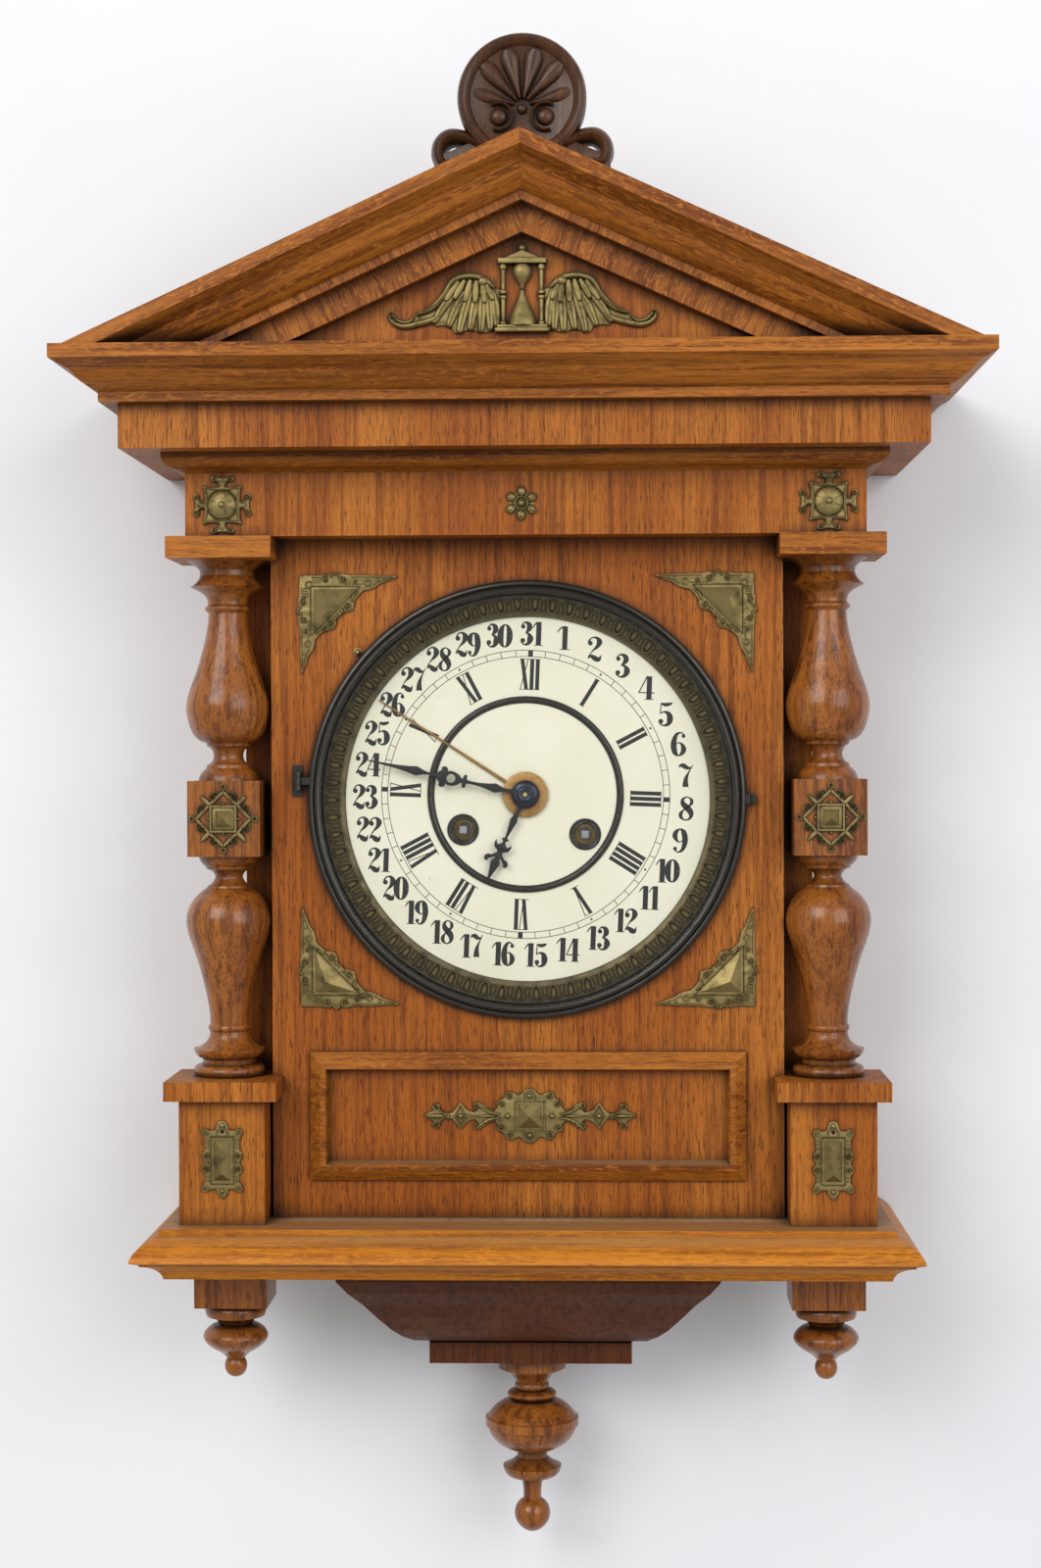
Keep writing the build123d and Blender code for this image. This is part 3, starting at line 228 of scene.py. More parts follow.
def wood(name, mid, light, deep, along, figure, pores, rough=0.42, coat=0.03, dust=0.0, streak=0.6):
    s = Shader(name)
    place = axes(s, along)
    broad = s.noise(s.stretch(place, (16, 16, 3)), 1.0, 4.0, 0.55, 0.4)
    bands = s.noise(s.stretch(place, (260, 260, 7)), 1.0, 5.0, 0.6, 0.4)
    fine = s.noise(s.stretch(place, (1100, 1100, 30)), 1.0, 3.0, 0.6)
    dashes = s.noise(s.stretch(place, (2100, 2100, 140)), 1.0, 2.0, 0.5)
    flecks = s.noise(s.stretch(place, (300, 300, 85)), 1.0, 4.0, 0.65, 2.2)
    colour = s.mix(s.ramp(broad, 0.35, 0.68), mid, light)
    colour = s.mix(s.times(s.ramp(bands, 0.44, 0.66), streak), colour, deep)
    colour = s.mix(s.times(s.ramp(fine, 0.45, 0.70), 0.6 * streak + 0.1), colour, deep)
    colour = s.mix(s.times(s.ramp(flecks, 0.50, 0.62), figure), colour, light)
    pore = s.times(s.ramp(dashes, 0.56, 0.68), pores)
    colour = s.mix(pore, colour, tuple(c * 0.4 for c in deep))
    # Painted shade: near-black in recesses, from ambient occlusion
    colour = s.mix(s.math("SUBTRACT", 1.0, s.ramp(s.nook(0.012), 0.25, 0.95)), colour, RECESS_SHADE)
    if dust:
        settled = s.times(s.ramp(s.normal()[2], 0.75, 0.97), s.ramp(broad, 0.25, 0.6))
        colour = s.mix(s.times(settled, dust), colour, DUST)
    lift = s.math("ADD", s.times(fine, 0.5), s.times(pore, -0.7))
    gloss = s.math("ADD", rough, s.times(s.ramp(bands, 0.3, 0.7), 0.12))
    return s.finish(Base_Color=colour, Roughness=gloss, Normal=s.bump(lift, 0.00016, 0.7),
                    Specular_IOR_Level=0.2, Coat_Weight=coat, Coat_Roughness=0.2)


def brass(name, bright, dark, green, rough, wear=0.5, metallic=0.85, cloud=120.0):
    s = Shader(name)
    place = s.place()
    blot = s.noise(place, cloud, 5.0, 0.65)
    spots = s.noise(place, 900.0, 3.0, 0.6)
    # Painted shade: dark in recesses, from ambient occlusion; the open faces stay as rubbed brass
    rub_and_shade = s.ramp(s.nook(0.003), 0.45, 1.0)
    colour = s.mix(s.times(rub_and_shade, s.ramp(blot, 0.18, 0.55)), dark, bright)
    colour = s.mix(s.times(s.ramp(spots, 0.58, 0.74), 0.35), colour, green)
    gloss = s.math("ADD", rough, s.times(s.ramp(blot, 0.6, 0.3), 0.15))
    return s.finish(Base_Color=colour, Metallic=metallic, Roughness=gloss,
                    Normal=s.bump(spots, 0.00008, wear))


def plain_metal(name, colour, rough, metallic=1.0):
    s = Shader(name)
    place = s.place()
    grain = s.noise(place, 1200.0, 3.0, 0.6)
    cloud = s.noise(place, 160.0, 4.0, 0.6)
    shade = s.mix(s.ramp(cloud, 0.35, 0.75), colour, tuple(c * 0.6 for c in colour))
    gloss = s.math("ADD", rough, s.times(cloud, 0.2))
    return s.finish(Base_Color=shade, Metallic=metallic, Roughness=gloss,
                    Normal=s.bump(grain, 0.00004, 0.4))


def paper():
    s = Shader("dial_paper")
    place = s.place()
    blot = s.noise(place, 22.0, 5.0, 0.6)
    fibre = s.noise(place, 900.0, 4.0, 0.7)
    specks = s.noise(place, 420.0, 2.0, 0.5)
    colour = s.mix(s.ramp(blot, 0.35, 0.7), srgb(238, 236, 210), srgb(245, 243, 221))
    colour = s.mix(s.times(s.ramp(fibre, 0.55, 0.75), 0.25), colour, srgb(216, 210, 176))
    colour = s.mix(s.times(s.ramp(specks, 0.74, 0.80), 0.5), colour, srgb(120, 98, 60))
    return s.finish(Base_Color=colour, Roughness=0.62, Normal=s.bump(fibre, 0.00006, 0.35))


def ink():
    s = Shader("dial_ink")
    fade = s.noise(s.place(), 500.0, 4.0, 0.7)
    colour = s.mix(s.ramp(fade, 0.55, 0.8), (0.010, 0.010, 0.011), (0.045, 0.043, 0.038))
    return s.finish(Base_Color=colour, Roughness=0.55)


def clear_glass():
    s = Shader("door_glass")
    smear = s.noise(s.place(), 30.0, 4.0, 0.6)
    s.finish(Base_Color=(1.0, 1.0, 1.0), Roughness=s.times(s.ramp(smear, 0.5, 0.8), 0.03),
             Transmission_Weight=1.0, IOR=1.45)
    facing = s.add("ShaderNodeFresnel")
    facing.inputs[0].default_value = 1.45
    glossy = s.add("ShaderNodeBsdfGlossy")
    glossy.inputs["Roughness"].default_value = 0.02
    share = s.times(facing.outputs[0], 0.5)
    s.blend(share, s.add("ShaderNodeBsdfTransparent").outputs[0], glossy.outputs[0])
    return s.material


MATERIALS = {
    "oak_case": wood("oak_veneer", OAK_MID, OAK_LIGHT, OAK_DEEP, "upright", 0.1, 0.75),
    "oak_moulding": wood("oak_level", (0.26, 0.080, 0.006), OAK_LIGHT, OAK_DEEP, "level", 0.6, 0.55,
                         dust=0.6, streak=0.8),
    "oak_base": wood("oak_base", (0.47, 0.145, 0.007), (0.59, 0.215, 0.015), (0.21, 0.052, 0.004),
                     "level", 0.6, 0.5, dust=0.6, streak=0.7),
    # Painted shade: the apron is the case's oak darkened to stand in for the shade it sits in
    "oak_shaded_apron": wood("oak_shaded_apron", (0.085, 0.020, 0.004), (0.12, 0.032, 0.006), (0.035, 0.008, 0.002),
                      "upright", 0.1, 0.7, coat=0.0),
    "oak_raking": wood("oak_raking", (0.22, 0.066, 0.009), OAK_LIGHT, OAK_DEEP, "raking", 0.75, 0.55,
                       dust=0.5, streak=0.7),
    "oak_turned": wood("oak_turned", (0.21, 0.056, 0.008), (0.36, 0.12, 0.018), (0.070, 0.015, 0.003),
                       "upright", 0.45, 0.6, rough=0.24, coat=0.45, streak=0.8),
    "oak_dark": wood("oak_carved", (0.060, 0.021, 0.007), (0.10, 0.038, 0.013), (0.020, 0.007, 0.003),
                     "upright", 0.1, 0.5, rough=0.3, coat=0.25),
    "oak_inside": wood("oak_inside", (0.42, 0.26, 0.13), (0.50, 0.33, 0.18), (0.25, 0.14, 0.06),
                       "upright", 0.1, 0.5, rough=0.7, coat=0.0),
    "old_brass": brass("brass_old", (0.27, 0.205, 0.080), (0.045, 0.034, 0.014), (0.115, 0.110, 0.055),
                       0.47),
    "ring_brass": brass("brass_ring", (0.13, 0.105, 0.050), (0.030, 0.024, 0.012), (0.07, 0.07, 0.04), 0.4),
    "dark_brass": brass("brass_dark", (0.030, 0.027, 0.021), (0.012, 0.011, 0.009), (0.022, 0.023, 0.017),
                        0.24, wear=0.15, metallic=0.3),
    "bright_brass": brass("brass_bright", (0.75, 0.52, 0.20), (0.40, 0.26, 0.08), (0.45, 0.32, 0.12),
                          0.28, wear=0.2),
    "date_brass": brass("brass_date", (0.42, 0.27, 0.09), (0.26, 0.07, 0.02), (0.50, 0.10, 0.03),
                        0.45, wear=0.2, metallic=0.6, cloud=380.0),
    "dial_paint": paper(),
    "dial_ink": ink(),
    "clear_glass": clear_glass(),
    "steel": plain_metal("steel_turned", (0.42, 0.42, 0.43), 0.3),
    "blued_steel": plain_metal("steel_blued", (0.05, 0.06, 0.09), 0.25),
    "black_hand": plain_metal("hand_black", (0.010, 0.010, 0.012), 0.4, 0.2),
}

# Nodes whose look differs from the rest of their slot
LOOKS = {"raking_cornices": "oak_raking", "pedestals": "oak_case", "tympanum": "oak_case",
         "apron": "oak_shaded_apron", "base_moulding": "oak_base", "sight_ring": "ring_brass"}
SLOT_OF = {m["node"]: m["material_slot"] for m in frame["record"]["subparts"]}
for node_name, node in frame["nodes"].items():
    key = LOOKS.get(node_name, SLOT_OF[node_name])
    node.data.materials.clear()
    node.data.materials.append(MATERIALS[key])


# Reliefs: raised work on a flat face, in millimetres right and up from a point, with height off the face
def between(t, a, b, c, d):
    """The smooth curve through b and c, at the share t of the way, with a before and d after them."""
    square, cube = 2 * a - 5 * b + 4 * c - d, 3 * b - a - 3 * c + d
    return 0.5 * (2 * b + (c - a) * t + square * t * t + cube * t ** 3)


def curve_through(points, steps=6, closed=False):
    count = len(points)
    made = []
    for k in range(count if closed else count - 1):
        if closed:
            four = [points[(k + n) % count] for n in (-1, 0, 1, 2)]
        else:
            four = [points[min(max(k + n, 0), count - 1)] for n in (-1, 0, 1, 2)]
        for step in range(steps):
            made.append(tuple(between(step / steps, *values) for values in zip(*four)))
    return made if closed else made + [tuple(points[-1])]


def circle(u, v, r, count):
    turns = [2 * math.pi * k / count for k in range(count)]
    return [(u + r * math.cos(turn), v + r * math.sin(turn)) for turn in turns]


def around(r, turn):
    """The point at this radius, turned clockwise from upright."""
    return r * math.sin(turn), r * math.cos(turn)


def arc_points(u, v, r, start, end, count, width):
    turns = [math.radians(start + (end - start) * (k / count)) for k in range(count + 1)]
    return [(u + r * math.cos(turn), v + r * math.sin(turn), width) for turn in turns]


def spiral(u, v, r, start, turns, width):
    points = []
    count = 8 * max(1, round(abs(turns) * 1.5))
    for k in range(count + 1):
        share = k / count
        turn = math.radians(start) + 2 * math.pi * turns * share
        near = r * (1 - 0.8 * share)
        points.append((u + near * math.cos(turn), v + near * math.sin(turn), width * (1 - 0.45 * share)))
    return points


ROUND = [(math.cos(math.pi * k / 8), math.sin(math.pi * k / 8)) for k in range(9)]
FLAT = [(1, 0), (1, 0.7), (0.8, 1), (-0.8, 1), (-1, 0.7), (-1, 0)]
INK = [(1, 1), (-1, 1)]


class Relief:
    def __init__(self, x, z, face, turn=0.0):
        self.mesh = bmesh.new()
        self.x, self.z, self.face = x, z, face
        self.move(turn)

    def move(self, turn=0.0, flip=1, flip_up=1):
        self.cos, self.sin = math.cos(math.radians(turn)), math.sin(math.radians(turn))
        self.flip, self.flip_up = flip, flip_up

    def at(self, u, v, h):
        u, v = u * self.flip, v * self.flip_up
        x = self.x + u * self.cos + v * self.sin
        z = self.z - u * self.sin + v * self.cos
        return Vector((x, self.face - h, z + EYE)) * MM

    def vert(self, u, v, h):
        return self.mesh.verts.new(self.at(u, v, h))

    def skin(self, rows, closed=False):
        """Faces between each row of vertices and the next."""
        for near, far in zip(rows, rows[1:] + (rows[:1] if closed else [])):
            for k in range(len(near) - 1):
                self.mesh.faces.new((near[k], near[k + 1], far[k + 1], far[k]))

    def cap(self, rows):
        self.mesh.faces.new(rows[0])
        self.mesh.faces.new(list(reversed(rows[-1])))

    def sweep(self, points, high=1.0, base=0.0, profile=ROUND, closed=False, steps=6, ratio=False):
        """A raised line through points of (across, up, half width)."""
        path = curve_through(points, steps, closed) if steps else points
        rows = []
        for k, (u, v, w) in enumerate(path):
            ahead = path[(k + 1) % len(path)] if closed or k + 1 < len(path) else path[k]
            behind = path[k - 1] if closed or k else path[k]
            du, dv = ahead[0] - behind[0], ahead[1] - behind[1]
            size = math.hypot(du, dv) or 1.0
            across = (-dv / size, du / size)
            tall = w * high if ratio else high
            rows.append([self.vert(u + a * w * across[0], v + a * w * across[1], base + h * tall)
                         for a, h in profile])
        self.skin(rows, closed)
        if not closed and len(profile) > 2:
            self.cap(rows)

    def wire(self, points, width, high, base, **more):
        """A raised line of one width."""
        self.sweep([(u, v, width) for u, v in points], high, base, **more)

    def loop(self, corners, width, high, base, profile=ROUND):
        """A closed line of one width with sharp corners."""
        self.wire(corners, width, high, base, profile=profile, closed=True, steps=0)

    def lathe(self, u, v, profile, sides=24):
        """A turned shape about the line off the face at (u, v), profile is (radius, height)."""
        rows = []
        for r, h in profile:
            if r == 0:
                rows.append([self.vert(u, v, h)] * sides)
            else:
                rows.append([self.vert(*point, h) for point in circle(u, v, r, sides)])
        for near, far in zip(rows, rows[1:]):
            for k in range(sides):
                m = (k + 1) % sides
                corners = (near[k], near[m], far[m], far[k])
                self.mesh.faces.new([c for n, c in enumerate(corners) if c is not corners[n - 1]])

    def dome(self, u, v, r, high, base=0.0, sides=16, rings=4):
        leans = [math.pi / 2 * k / rings for k in range(rings)]
        profile = [(r * math.cos(lean), base + high * math.sin(lean)) for lean in leans]
        self.lathe(u, v, profile + [(0, base + high)], sides)

    def ring(self, u, v, r, width, high, base=0.0):
        self.loop(circle(u, v, r, 20), width, high, base)

    def facets(self, corners, tip, high, base=0.0):
        """Flat slopes from the corners up to a tip, or to a ridge between two tips."""
        feet = [self.vert(u, v, base) for u, v in corners]
        if isinstance(tip[0], tuple):
            ends = [self.vert(u, v, base + high) for u, v in tip]
            self.mesh.faces.new((feet[0], feet[1], ends[0]))
            self.mesh.faces.new((feet[1], feet[2], ends[1], ends[0]))
            self.mesh.faces.new((feet[2], feet[3], ends[1]))
            self.mesh.faces.new((feet[3], feet[0], ends[0], ends[1]))
            return
        top = self.vert(*tip, base + high)
        for k, foot in enumerate(feet):
            self.mesh.faces.new((foot, feet[(k + 1) % len(feet)], top))

    def plate(self, outlines, high, bevel=0.35):
        """A flat sheet with bevelled edges, further outlines are holes."""
        data = bpy.data.curves.new("outline", "CURVE")
        data.dimensions = "2D"
        data.fill_mode = "BOTH"
        data.extrude = max(high - 2 * bevel, 0.02) / 2
        data.bevel_depth = bevel
        data.bevel_resolution = 1
        for outline in outlines:
            spline = data.splines.new("POLY")
            spline.points.add(len(outline) - 1)
            for point, (u, v) in zip(spline.points, outline):
                point.co = (u, v, 0, 1)
            spline.use_cyclic_u = True
        data.offset = -bevel
        made = bpy.data.objects.new("outline", data)
        mesh = bpy.data.meshes.new_from_object(made)
        for vertex in mesh.vertices:
            vertex.co = self.at(vertex.co.x, vertex.co.y, high / 2 + vertex.co.z)
        self.mesh.from_mesh(mesh)
        bpy.data.meshes.remove(mesh)
        bpy.data.objects.remove(made)
        bpy.data.curves.remove(data)

    def spot(self, u, v, r, high):
        self.mesh.faces.new([self.vert(*point, high) for point in circle(u, v, r, 16)])

    def post(self, u, low, heights, side=8, base=0.0, squeeze=1.0):
        """A half-round turned post standing up the face, heights are (up, radius)."""
        turns = [math.pi * k / side for k in range(side + 1)]
        self.skin([[self.vert(u + r * math.cos(turn), low + up, base + squeeze * r * math.sin(turn))
                    for turn in turns] for up, r in heights])

    def done(self, name, slot="old_brass", body="case", stands_for=(), look=None, smooth=35, weld=0.004):
        if weld:
            bmesh.ops.remove_doubles(self.mesh, verts=self.mesh.verts, dist=weld * MM)
        mesh = bpy.data.meshes.new(name)
        bmesh.ops.recalc_face_normals(self.mesh, faces=self.mesh.faces)
        self.mesh.to_mesh(mesh)
        self.mesh.free()
        piece = bpy.data.objects.new(name, mesh)
        bpy.context.scene.collection.objects.link(piece)
        mesh.materials.append(MATERIALS[look or slot])
        for face in mesh.polygons:
            face.use_smooth = True
        mesh.set_sharp_from_angle(angle=math.radians(smooth))
        if stands_for:
            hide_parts(*stands_for)
        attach(piece, body)


# Mounts
def mirrored_outline(half):
    return half + [(-u, v) for u, v in reversed(half) if abs(u) > 0.01]


def quartered(part):
    points = []
    for k in range(4):
        cos, sin = math.cos(math.pi / 2 * k), -math.sin(math.pi / 2 * k)
        points += [(u * cos - v * sin, u * sin + v * cos) for u, v in part]
    return points


def rectangle(half_u, half_v):
    return [(-half_u, half_v), (half_u, half_v), (half_u, -half_v), (-half_u, -half_v)]


def scroll(relief, u, v, r, start, turns=1.25, base=0.9, high=1.1):
    relief.sweep(spiral(u, v, r, start, turns, r * 0.27), high, base, steps=0)
    relief.dome(u, v, r * 0.34, high, base)


def pin(relief, u, v):
    relief.ring(u, v, 1.25, 0.4, 0.6, 1.0)
    relief.dome(u, v, 0.75, 0.7, 0.8)


CORNER_HALF = [
    (0, 0), (11, 0), (12.4, 0.6), (15.2, 0.6), (16.4, 0.1), (17, 1.1), (18.5, 1.6), (20, 1.1),
    (20.6, 0.1), (21.6, 0.6), (24.4, 0.6), (26, 0), (38, -0.2), (51.8, -0.9), (47, -2.9), (42, -4.7),
    (39, -6.8), (36, -7.8), (33.4, -8.2), (31.2, -10.2), (29.2, -12.6), (28.6, -15.2), (28, -18),
    (25.6, -19.2), (22.8, -19.4)
]


def corner_side(relief, put):
    """The ornament along one arm of a corner mount; put turns a point to that arm."""
    def run(points, high, base):
        relief.sweep([(*put(u, v), w) for u, v, w in points], high, base)

    for u, start in ((13.9, 60), (23.1, 120)):
        scroll(relief, *put(u, -2.2), 2.2, start)
    run([(16.2, -1.2, 0.5), (18.5, 1.0, 0.6), (20.8, -1.2, 0.5)], 1.1, 1)
    relief.ring(*put(35.7, -4.3), 1.5, 0.5, 0.8, 1.0)
    run([(27, -1, 0.3), (38, -1.1, 0.3), (49, -1.3, 0.2)], 0.5, 1.2)
    run([(38.5, -5.4, 0.3), (42, -3.6, 0.3), (49, -1.6, 0.2)], 0.5, 1.2)
    relief.dome(*put(41, -2.6), 0.9, 0.8, 1.1)
    relief.dome(*put(44.4, -2.1), 0.6, 0.6, 1.1)
    run([(6.4, -1.1, 0.3), (11.4, -1.2, 0.3)], 0.5, 1.2)
    for step in range(4):
        run([(6.8 + 1.3 * step, -4.6, 0.3), (7.1 + 1.3 * step, -1.9, 0.3)], 0.5, 1.2)
    for step in range(6):
        bead = 24.4 + 1.7 * step if step < 3 else 30.6 + 1.1 * (step - 3)
        relief.dome(*put(bead, -4.6), 0.45, 0.6, 1.2)
    scroll(relief, *put(25.2, -16.2), 2.4, 200)
    run([(30.6, -8.6, 0.5), (28.2, -10.6, 0.7), (27.3, -13.4, 0.6)], 1.2, 1)
    relief.dome(*put(22.3, -18.6), 1.0, 1.2, 1.0)


def corner_mounts():
    outline = CORNER_HALF + [(-v, -u) for u, v in reversed(CORNER_HALF[1:])]
    for k, (side, top) in enumerate(((1, 1), (-1, 1), (1, -1), (-1, -1))):
        relief = Relief(-CORNER_X * side, CORNER_TOP if top > 0 else CORNER_LOW, PANEL_Y)
        relief.move(0, side, top)
        relief.plate([outline, circle(29.4, -3.6, 0.8, 12), circle(3.6, -29.4, 0.8, 12)], 1.3)
        relief.facets([(7.2, -7.2), (29.4, -7.2), (7.2, -29.4)], (13, -13), 3.2, 1.2)
        relief.loop([(5.8, -5.8), (31.6, -5.8), (5.8, -31.6)], 0.45, 0.7, 1.1)
        corner_side(relief, lambda u, v: (u, v))
        corner_side(relief, lambda u, v: (-v, -u))
        relief.ring(5.0, -5.0, 1.7, 0.5, 0.9, 1.0)
        for step in range(9):
            at = -7.6 + 1.9 * step
            relief.sweep([(19.6 + at, -20.3 + at, 0.32), (21.0 + at, -21.7 + at, 0.42)], 0.8, 1.2)
        pin(relief, 29.4, -3.6)
        pin(relief, 3.6, -29.4)
        relief.done(f"corner_mount_{k + 1}", stands_for=("corner_mounts",) if k == 0 else ())


ROSETTE_QUARTER = [
    (-9.9, 9.9), (-6.5, 9.2), (-3, 8.9), (-1.65, 8.9), (-1.65, 10.8), (-2.8, 12), (-4.6, 11.6),
    (-5.9, 12.6), (-5.8, 14), (-4.4, 14.8), (-2.6, 14.2), (-1.2, 13.6), (0, 13.9), (1.2, 13.6),
    (2.6, 14.2), (4.4, 14.8), (5.8, 14), (5.9, 12.6), (4.6, 11.6), (2.8, 12), (1.65, 10.8), (1.65, 8.9),
    (3, 8.9), (6.5, 9.2)
]


def rosettes():
    for k, x in enumerate((-ROSETTE_X, ROSETTE_X)):
        relief = Relief(x, FRIEZE_MOUNT_Z, FRIEZE_Y)
        relief.plate([quartered(ROSETTE_QUARTER)], 1.4)
        border = quartered([(-8.7, 8.7), (-4, 8.0), (0, 7.8), (4, 8.0)])
        relief.wire(border, 0.5, 0.9, 1.2, closed=True, steps=3)
        relief.dome(0, 0, 7.7, 2.9, 1.2, sides=32, rings=6)
        for turn in range(8):
            cos, sin = math.cos(math.pi / 4 * turn + 0.39), math.sin(math.pi / 4 * turn + 0.39)
            for r, lift in ((2.4, 2.7), (4.0, 2.4), (5.6, 1.8)):
                ends = [(r * cos, r * sin, 0.35), ((r + 1.7) * cos, (r + 1.7) * sin, 0.35)]
                relief.sweep(ends, 0.7, 1.2 + lift - 0.75, steps=0)
        relief.ring(0, 0, 7.9, 0.4, 0.9, 1.1)
        relief.dome(0, 0, 1.9, 1.3, 3.6)
        for turn in range(4):
            relief.move(90 * turn)
            relief.dome(9.0, 9.0, 0.9, 0.7, 1.1)
            for side in (-1, 1):
                scroll(relief, 4.3 * side, 13.1, 1.5, 90, 1.25 * side)
                stem = [(1.1, 9.4, 0.35), (1.3, 11.2, 0.4), (2.8, 12.6, 0.4)]
                relief.sweep([(u * side, v, w) for u, v, w in stem], 0.7, 1.3)
            relief.dome(0, 12.3, 0.8, 0.8, 1.2)
        relief.done(f"square_rosette_{k + 1}", stands_for=("frieze_rosettes",) if k == 0 else ())


def frieze_flower():
    relief = Relief(FLOWER_X, FRIEZE_MOUNT_Z, FRIEZE_Y)
    relief.dome(0, 0, 6.6, 0.9, 0, sides=24)
    for turn in range(6):
        cos, sin = math.cos(math.pi / 3 * turn + 0.5), math.sin(math.pi / 3 * turn + 0.5)
        petal = [(r * cos, r * sin, w) for r, w in ((2.8, 1.0), (5.0, 2.3), (7.2, 2.2), (8.9, 0.7))]
        relief.sweep(petal, 0.9, 0.2, steps=4, ratio=True)
        relief.wire([(r * cos, r * sin) for r in (3.6, 6, 8.4)], 0.25, 0.5, 1.9)
    relief.ring(0, 0, 3.3, 0.6, 1.1, 1.0)
    relief.dome(0, 0, 1.9, 1.9, 1.2)
    relief.done("frieze_flower")


def column_mounts():
    for k, x in enumerate((-COLUMN_X, COLUMN_X)):
        relief = Relief(x, COLUMN_MOUNT_Z, COLUMN_FACE_Y)
        relief.plate([rectangle(6.5, 6.5)], 1.0)
        relief.loop(rectangle(6.5, 6.5), 0.75, 1.5, 0.3, FLAT)
        relief.facets(rectangle(4.2, 4.2), (0, 0), 3.2, 0.9)
        for turn in range(4):
            relief.move(90 * turn)
            relief.wire([(0, 14), (7.4, 7.0), (14, 0)], 0.75, 1.2, 0, profile=FLAT, steps=0)
            relief.ring(0, 16.3, 1.35, 0.55, 1.1, 0.1)
            relief.dome(0, 7.7, 1.1, 1.4)
            for side in (-1, 1):
                scroll(relief, 5.8 * side, 11.4, 1.75, -90, -1.4 * side, 0.2, 1.6)
                stem = [(1.8, 12.4, 0.4), (3.4, 13.8, 0.5), (5.6, 13.2, 0.5)]
                relief.sweep([(u * side, v, w) for u, v, w in stem], 1.2)
            relief.sweep([(7.2, 7.2, 1.5), (9.6, 9.6, 1.5), (11.8, 11.8, 0.3)], 1.5, 0)
        relief.done(f"column_mount_{k + 1}", stands_for=("column_mounts",) if k == 0 else ())


PEDESTAL_RIGHT = [
    (0, 20.5), (2, 19.7), (2.8, 17.6), (3.4, 15.6), (6.2, 15), (7.6, 16.4), (9.4, 16.2), (10.6, 14.4),
    (9.9, 12.6), (8.9, 11), (8.75, 5.6), (10.1, 4), (10.3, 1.4), (9, -0.4), (8.8, -1.8), (10.2, -3.4),
    (10.2, -6), (8.8, -7.2), (8.75, -11.2), (9.9, -12.8), (10.6, -14.6), (9.2, -16.3), (7.2, -16),
    (5.8, -14.8), (3.2, -14.8), (2.8, -16.8), (1.4, -18.8), (0, -19.9)
]


def pedestal_mounts():
    for k, x in enumerate((-COLUMN_X, COLUMN_X)):
        relief = Relief(x, PEDESTAL_MOUNT_Z, FRIEZE_Y)
        relief.plate([mirrored_outline(PEDESTAL_RIGHT), circle(0, 14.6, 0.9, 12)], 1.3)
        ridge = ((0, 6), (0, -6.4))
        relief.facets([(-4.6, 10.4), (4.6, 10.4), (4.6, -10.6), (-4.6, -10.6)], ridge, 3.6, 1.1)
        relief.loop([(-6, 12), (6, 12), (6, -12.2), (-6, -12.2)], 0.4, 0.7, 1.1)
        relief.dome(0, 17.9, 1.6, 1.3, 1.1)
        relief.dome(0, -15.7, 1.3, 1.3, 1.1)
        relief.wire([(-2.6, 13.2), (-2.4, 15.6), (0, 16.6), (2.4, 15.6), (2.6, 13.2)], 0.4, 0.8, 1.1)
        for side in (-1, 1):
            scroll(relief, 8.2 * side, 2.6, 1.9, 90 - 90 * side, -1.3 * side)
            scroll(relief, 8.2 * side, -4.7, 1.9, 90 - 90 * side, 1.3 * side)
            relief.dome(7.4 * side, -1.1, 0.7, 1.0, 1.1)
            for up in (14.4, -14.5):
                relief.ring(8.7 * side, up, 1.4, 0.5, 0.9, 1.0)
                relief.dome(8.7 * side, up, 0.8, 0.5, 1.0)
            for up in (10.2, 8.4, 6.6, -8.6, -10.4):
                relief.wire([(6.8 * side, up), (8.2 * side, up)], 0.35, 0.6, 1.1)
        relief.done(f"pedestal_mount_{k + 1}", stands_for=("pedestal_mounts",) if k == 0 else ())


PANEL_MOUNT_RIGHT = [
    (0, 14.3), (2.6, 13.6), (3.9, 11.8), (5.6, 10.8), (8, 11.8), (10.4, 12.8), (12.6, 11.6),
    (13.2, 9.2), (15, 8.4), (16.8, 6.8), (16.7, 4.4), (18.4, 2.6), (21, 3.2), (24, 5.6), (27, 7.2),
    (29.4, 6.2), (29, 4.2), (27, 3.4), (28.6, 1.8), (31.8, 2.6), (33.4, 3.6), (36, 7.2), (38.6, 3.6),
    (40.4, 1.6), (42.5, 1.3), (45, 1.6), (46.8, 3.4), (46.7, 5.6), (49, 6.8), (51, 5), (50.2, 2.8),
    (52.6, 1.6), (55.5, 0)
]


PANEL_SCROLLS = (
    (14.6, 6, 2.1, 0, 1.3), (10.3, 10.4, 2.1, 90, -1.3), (14.8, -5.8, 2.1, 0, -1.3),
    (10, -9.8, 2.1, -90, 1.3), (27.2, 5.0, 1.8, 90, -1.2), (27.2, -5.0, 1.8, -90, 1.2),
    (48.6, 4.9, 1.6, 90, -1.2), (48.6, -4.9, 1.6, -90, 1.2)
)


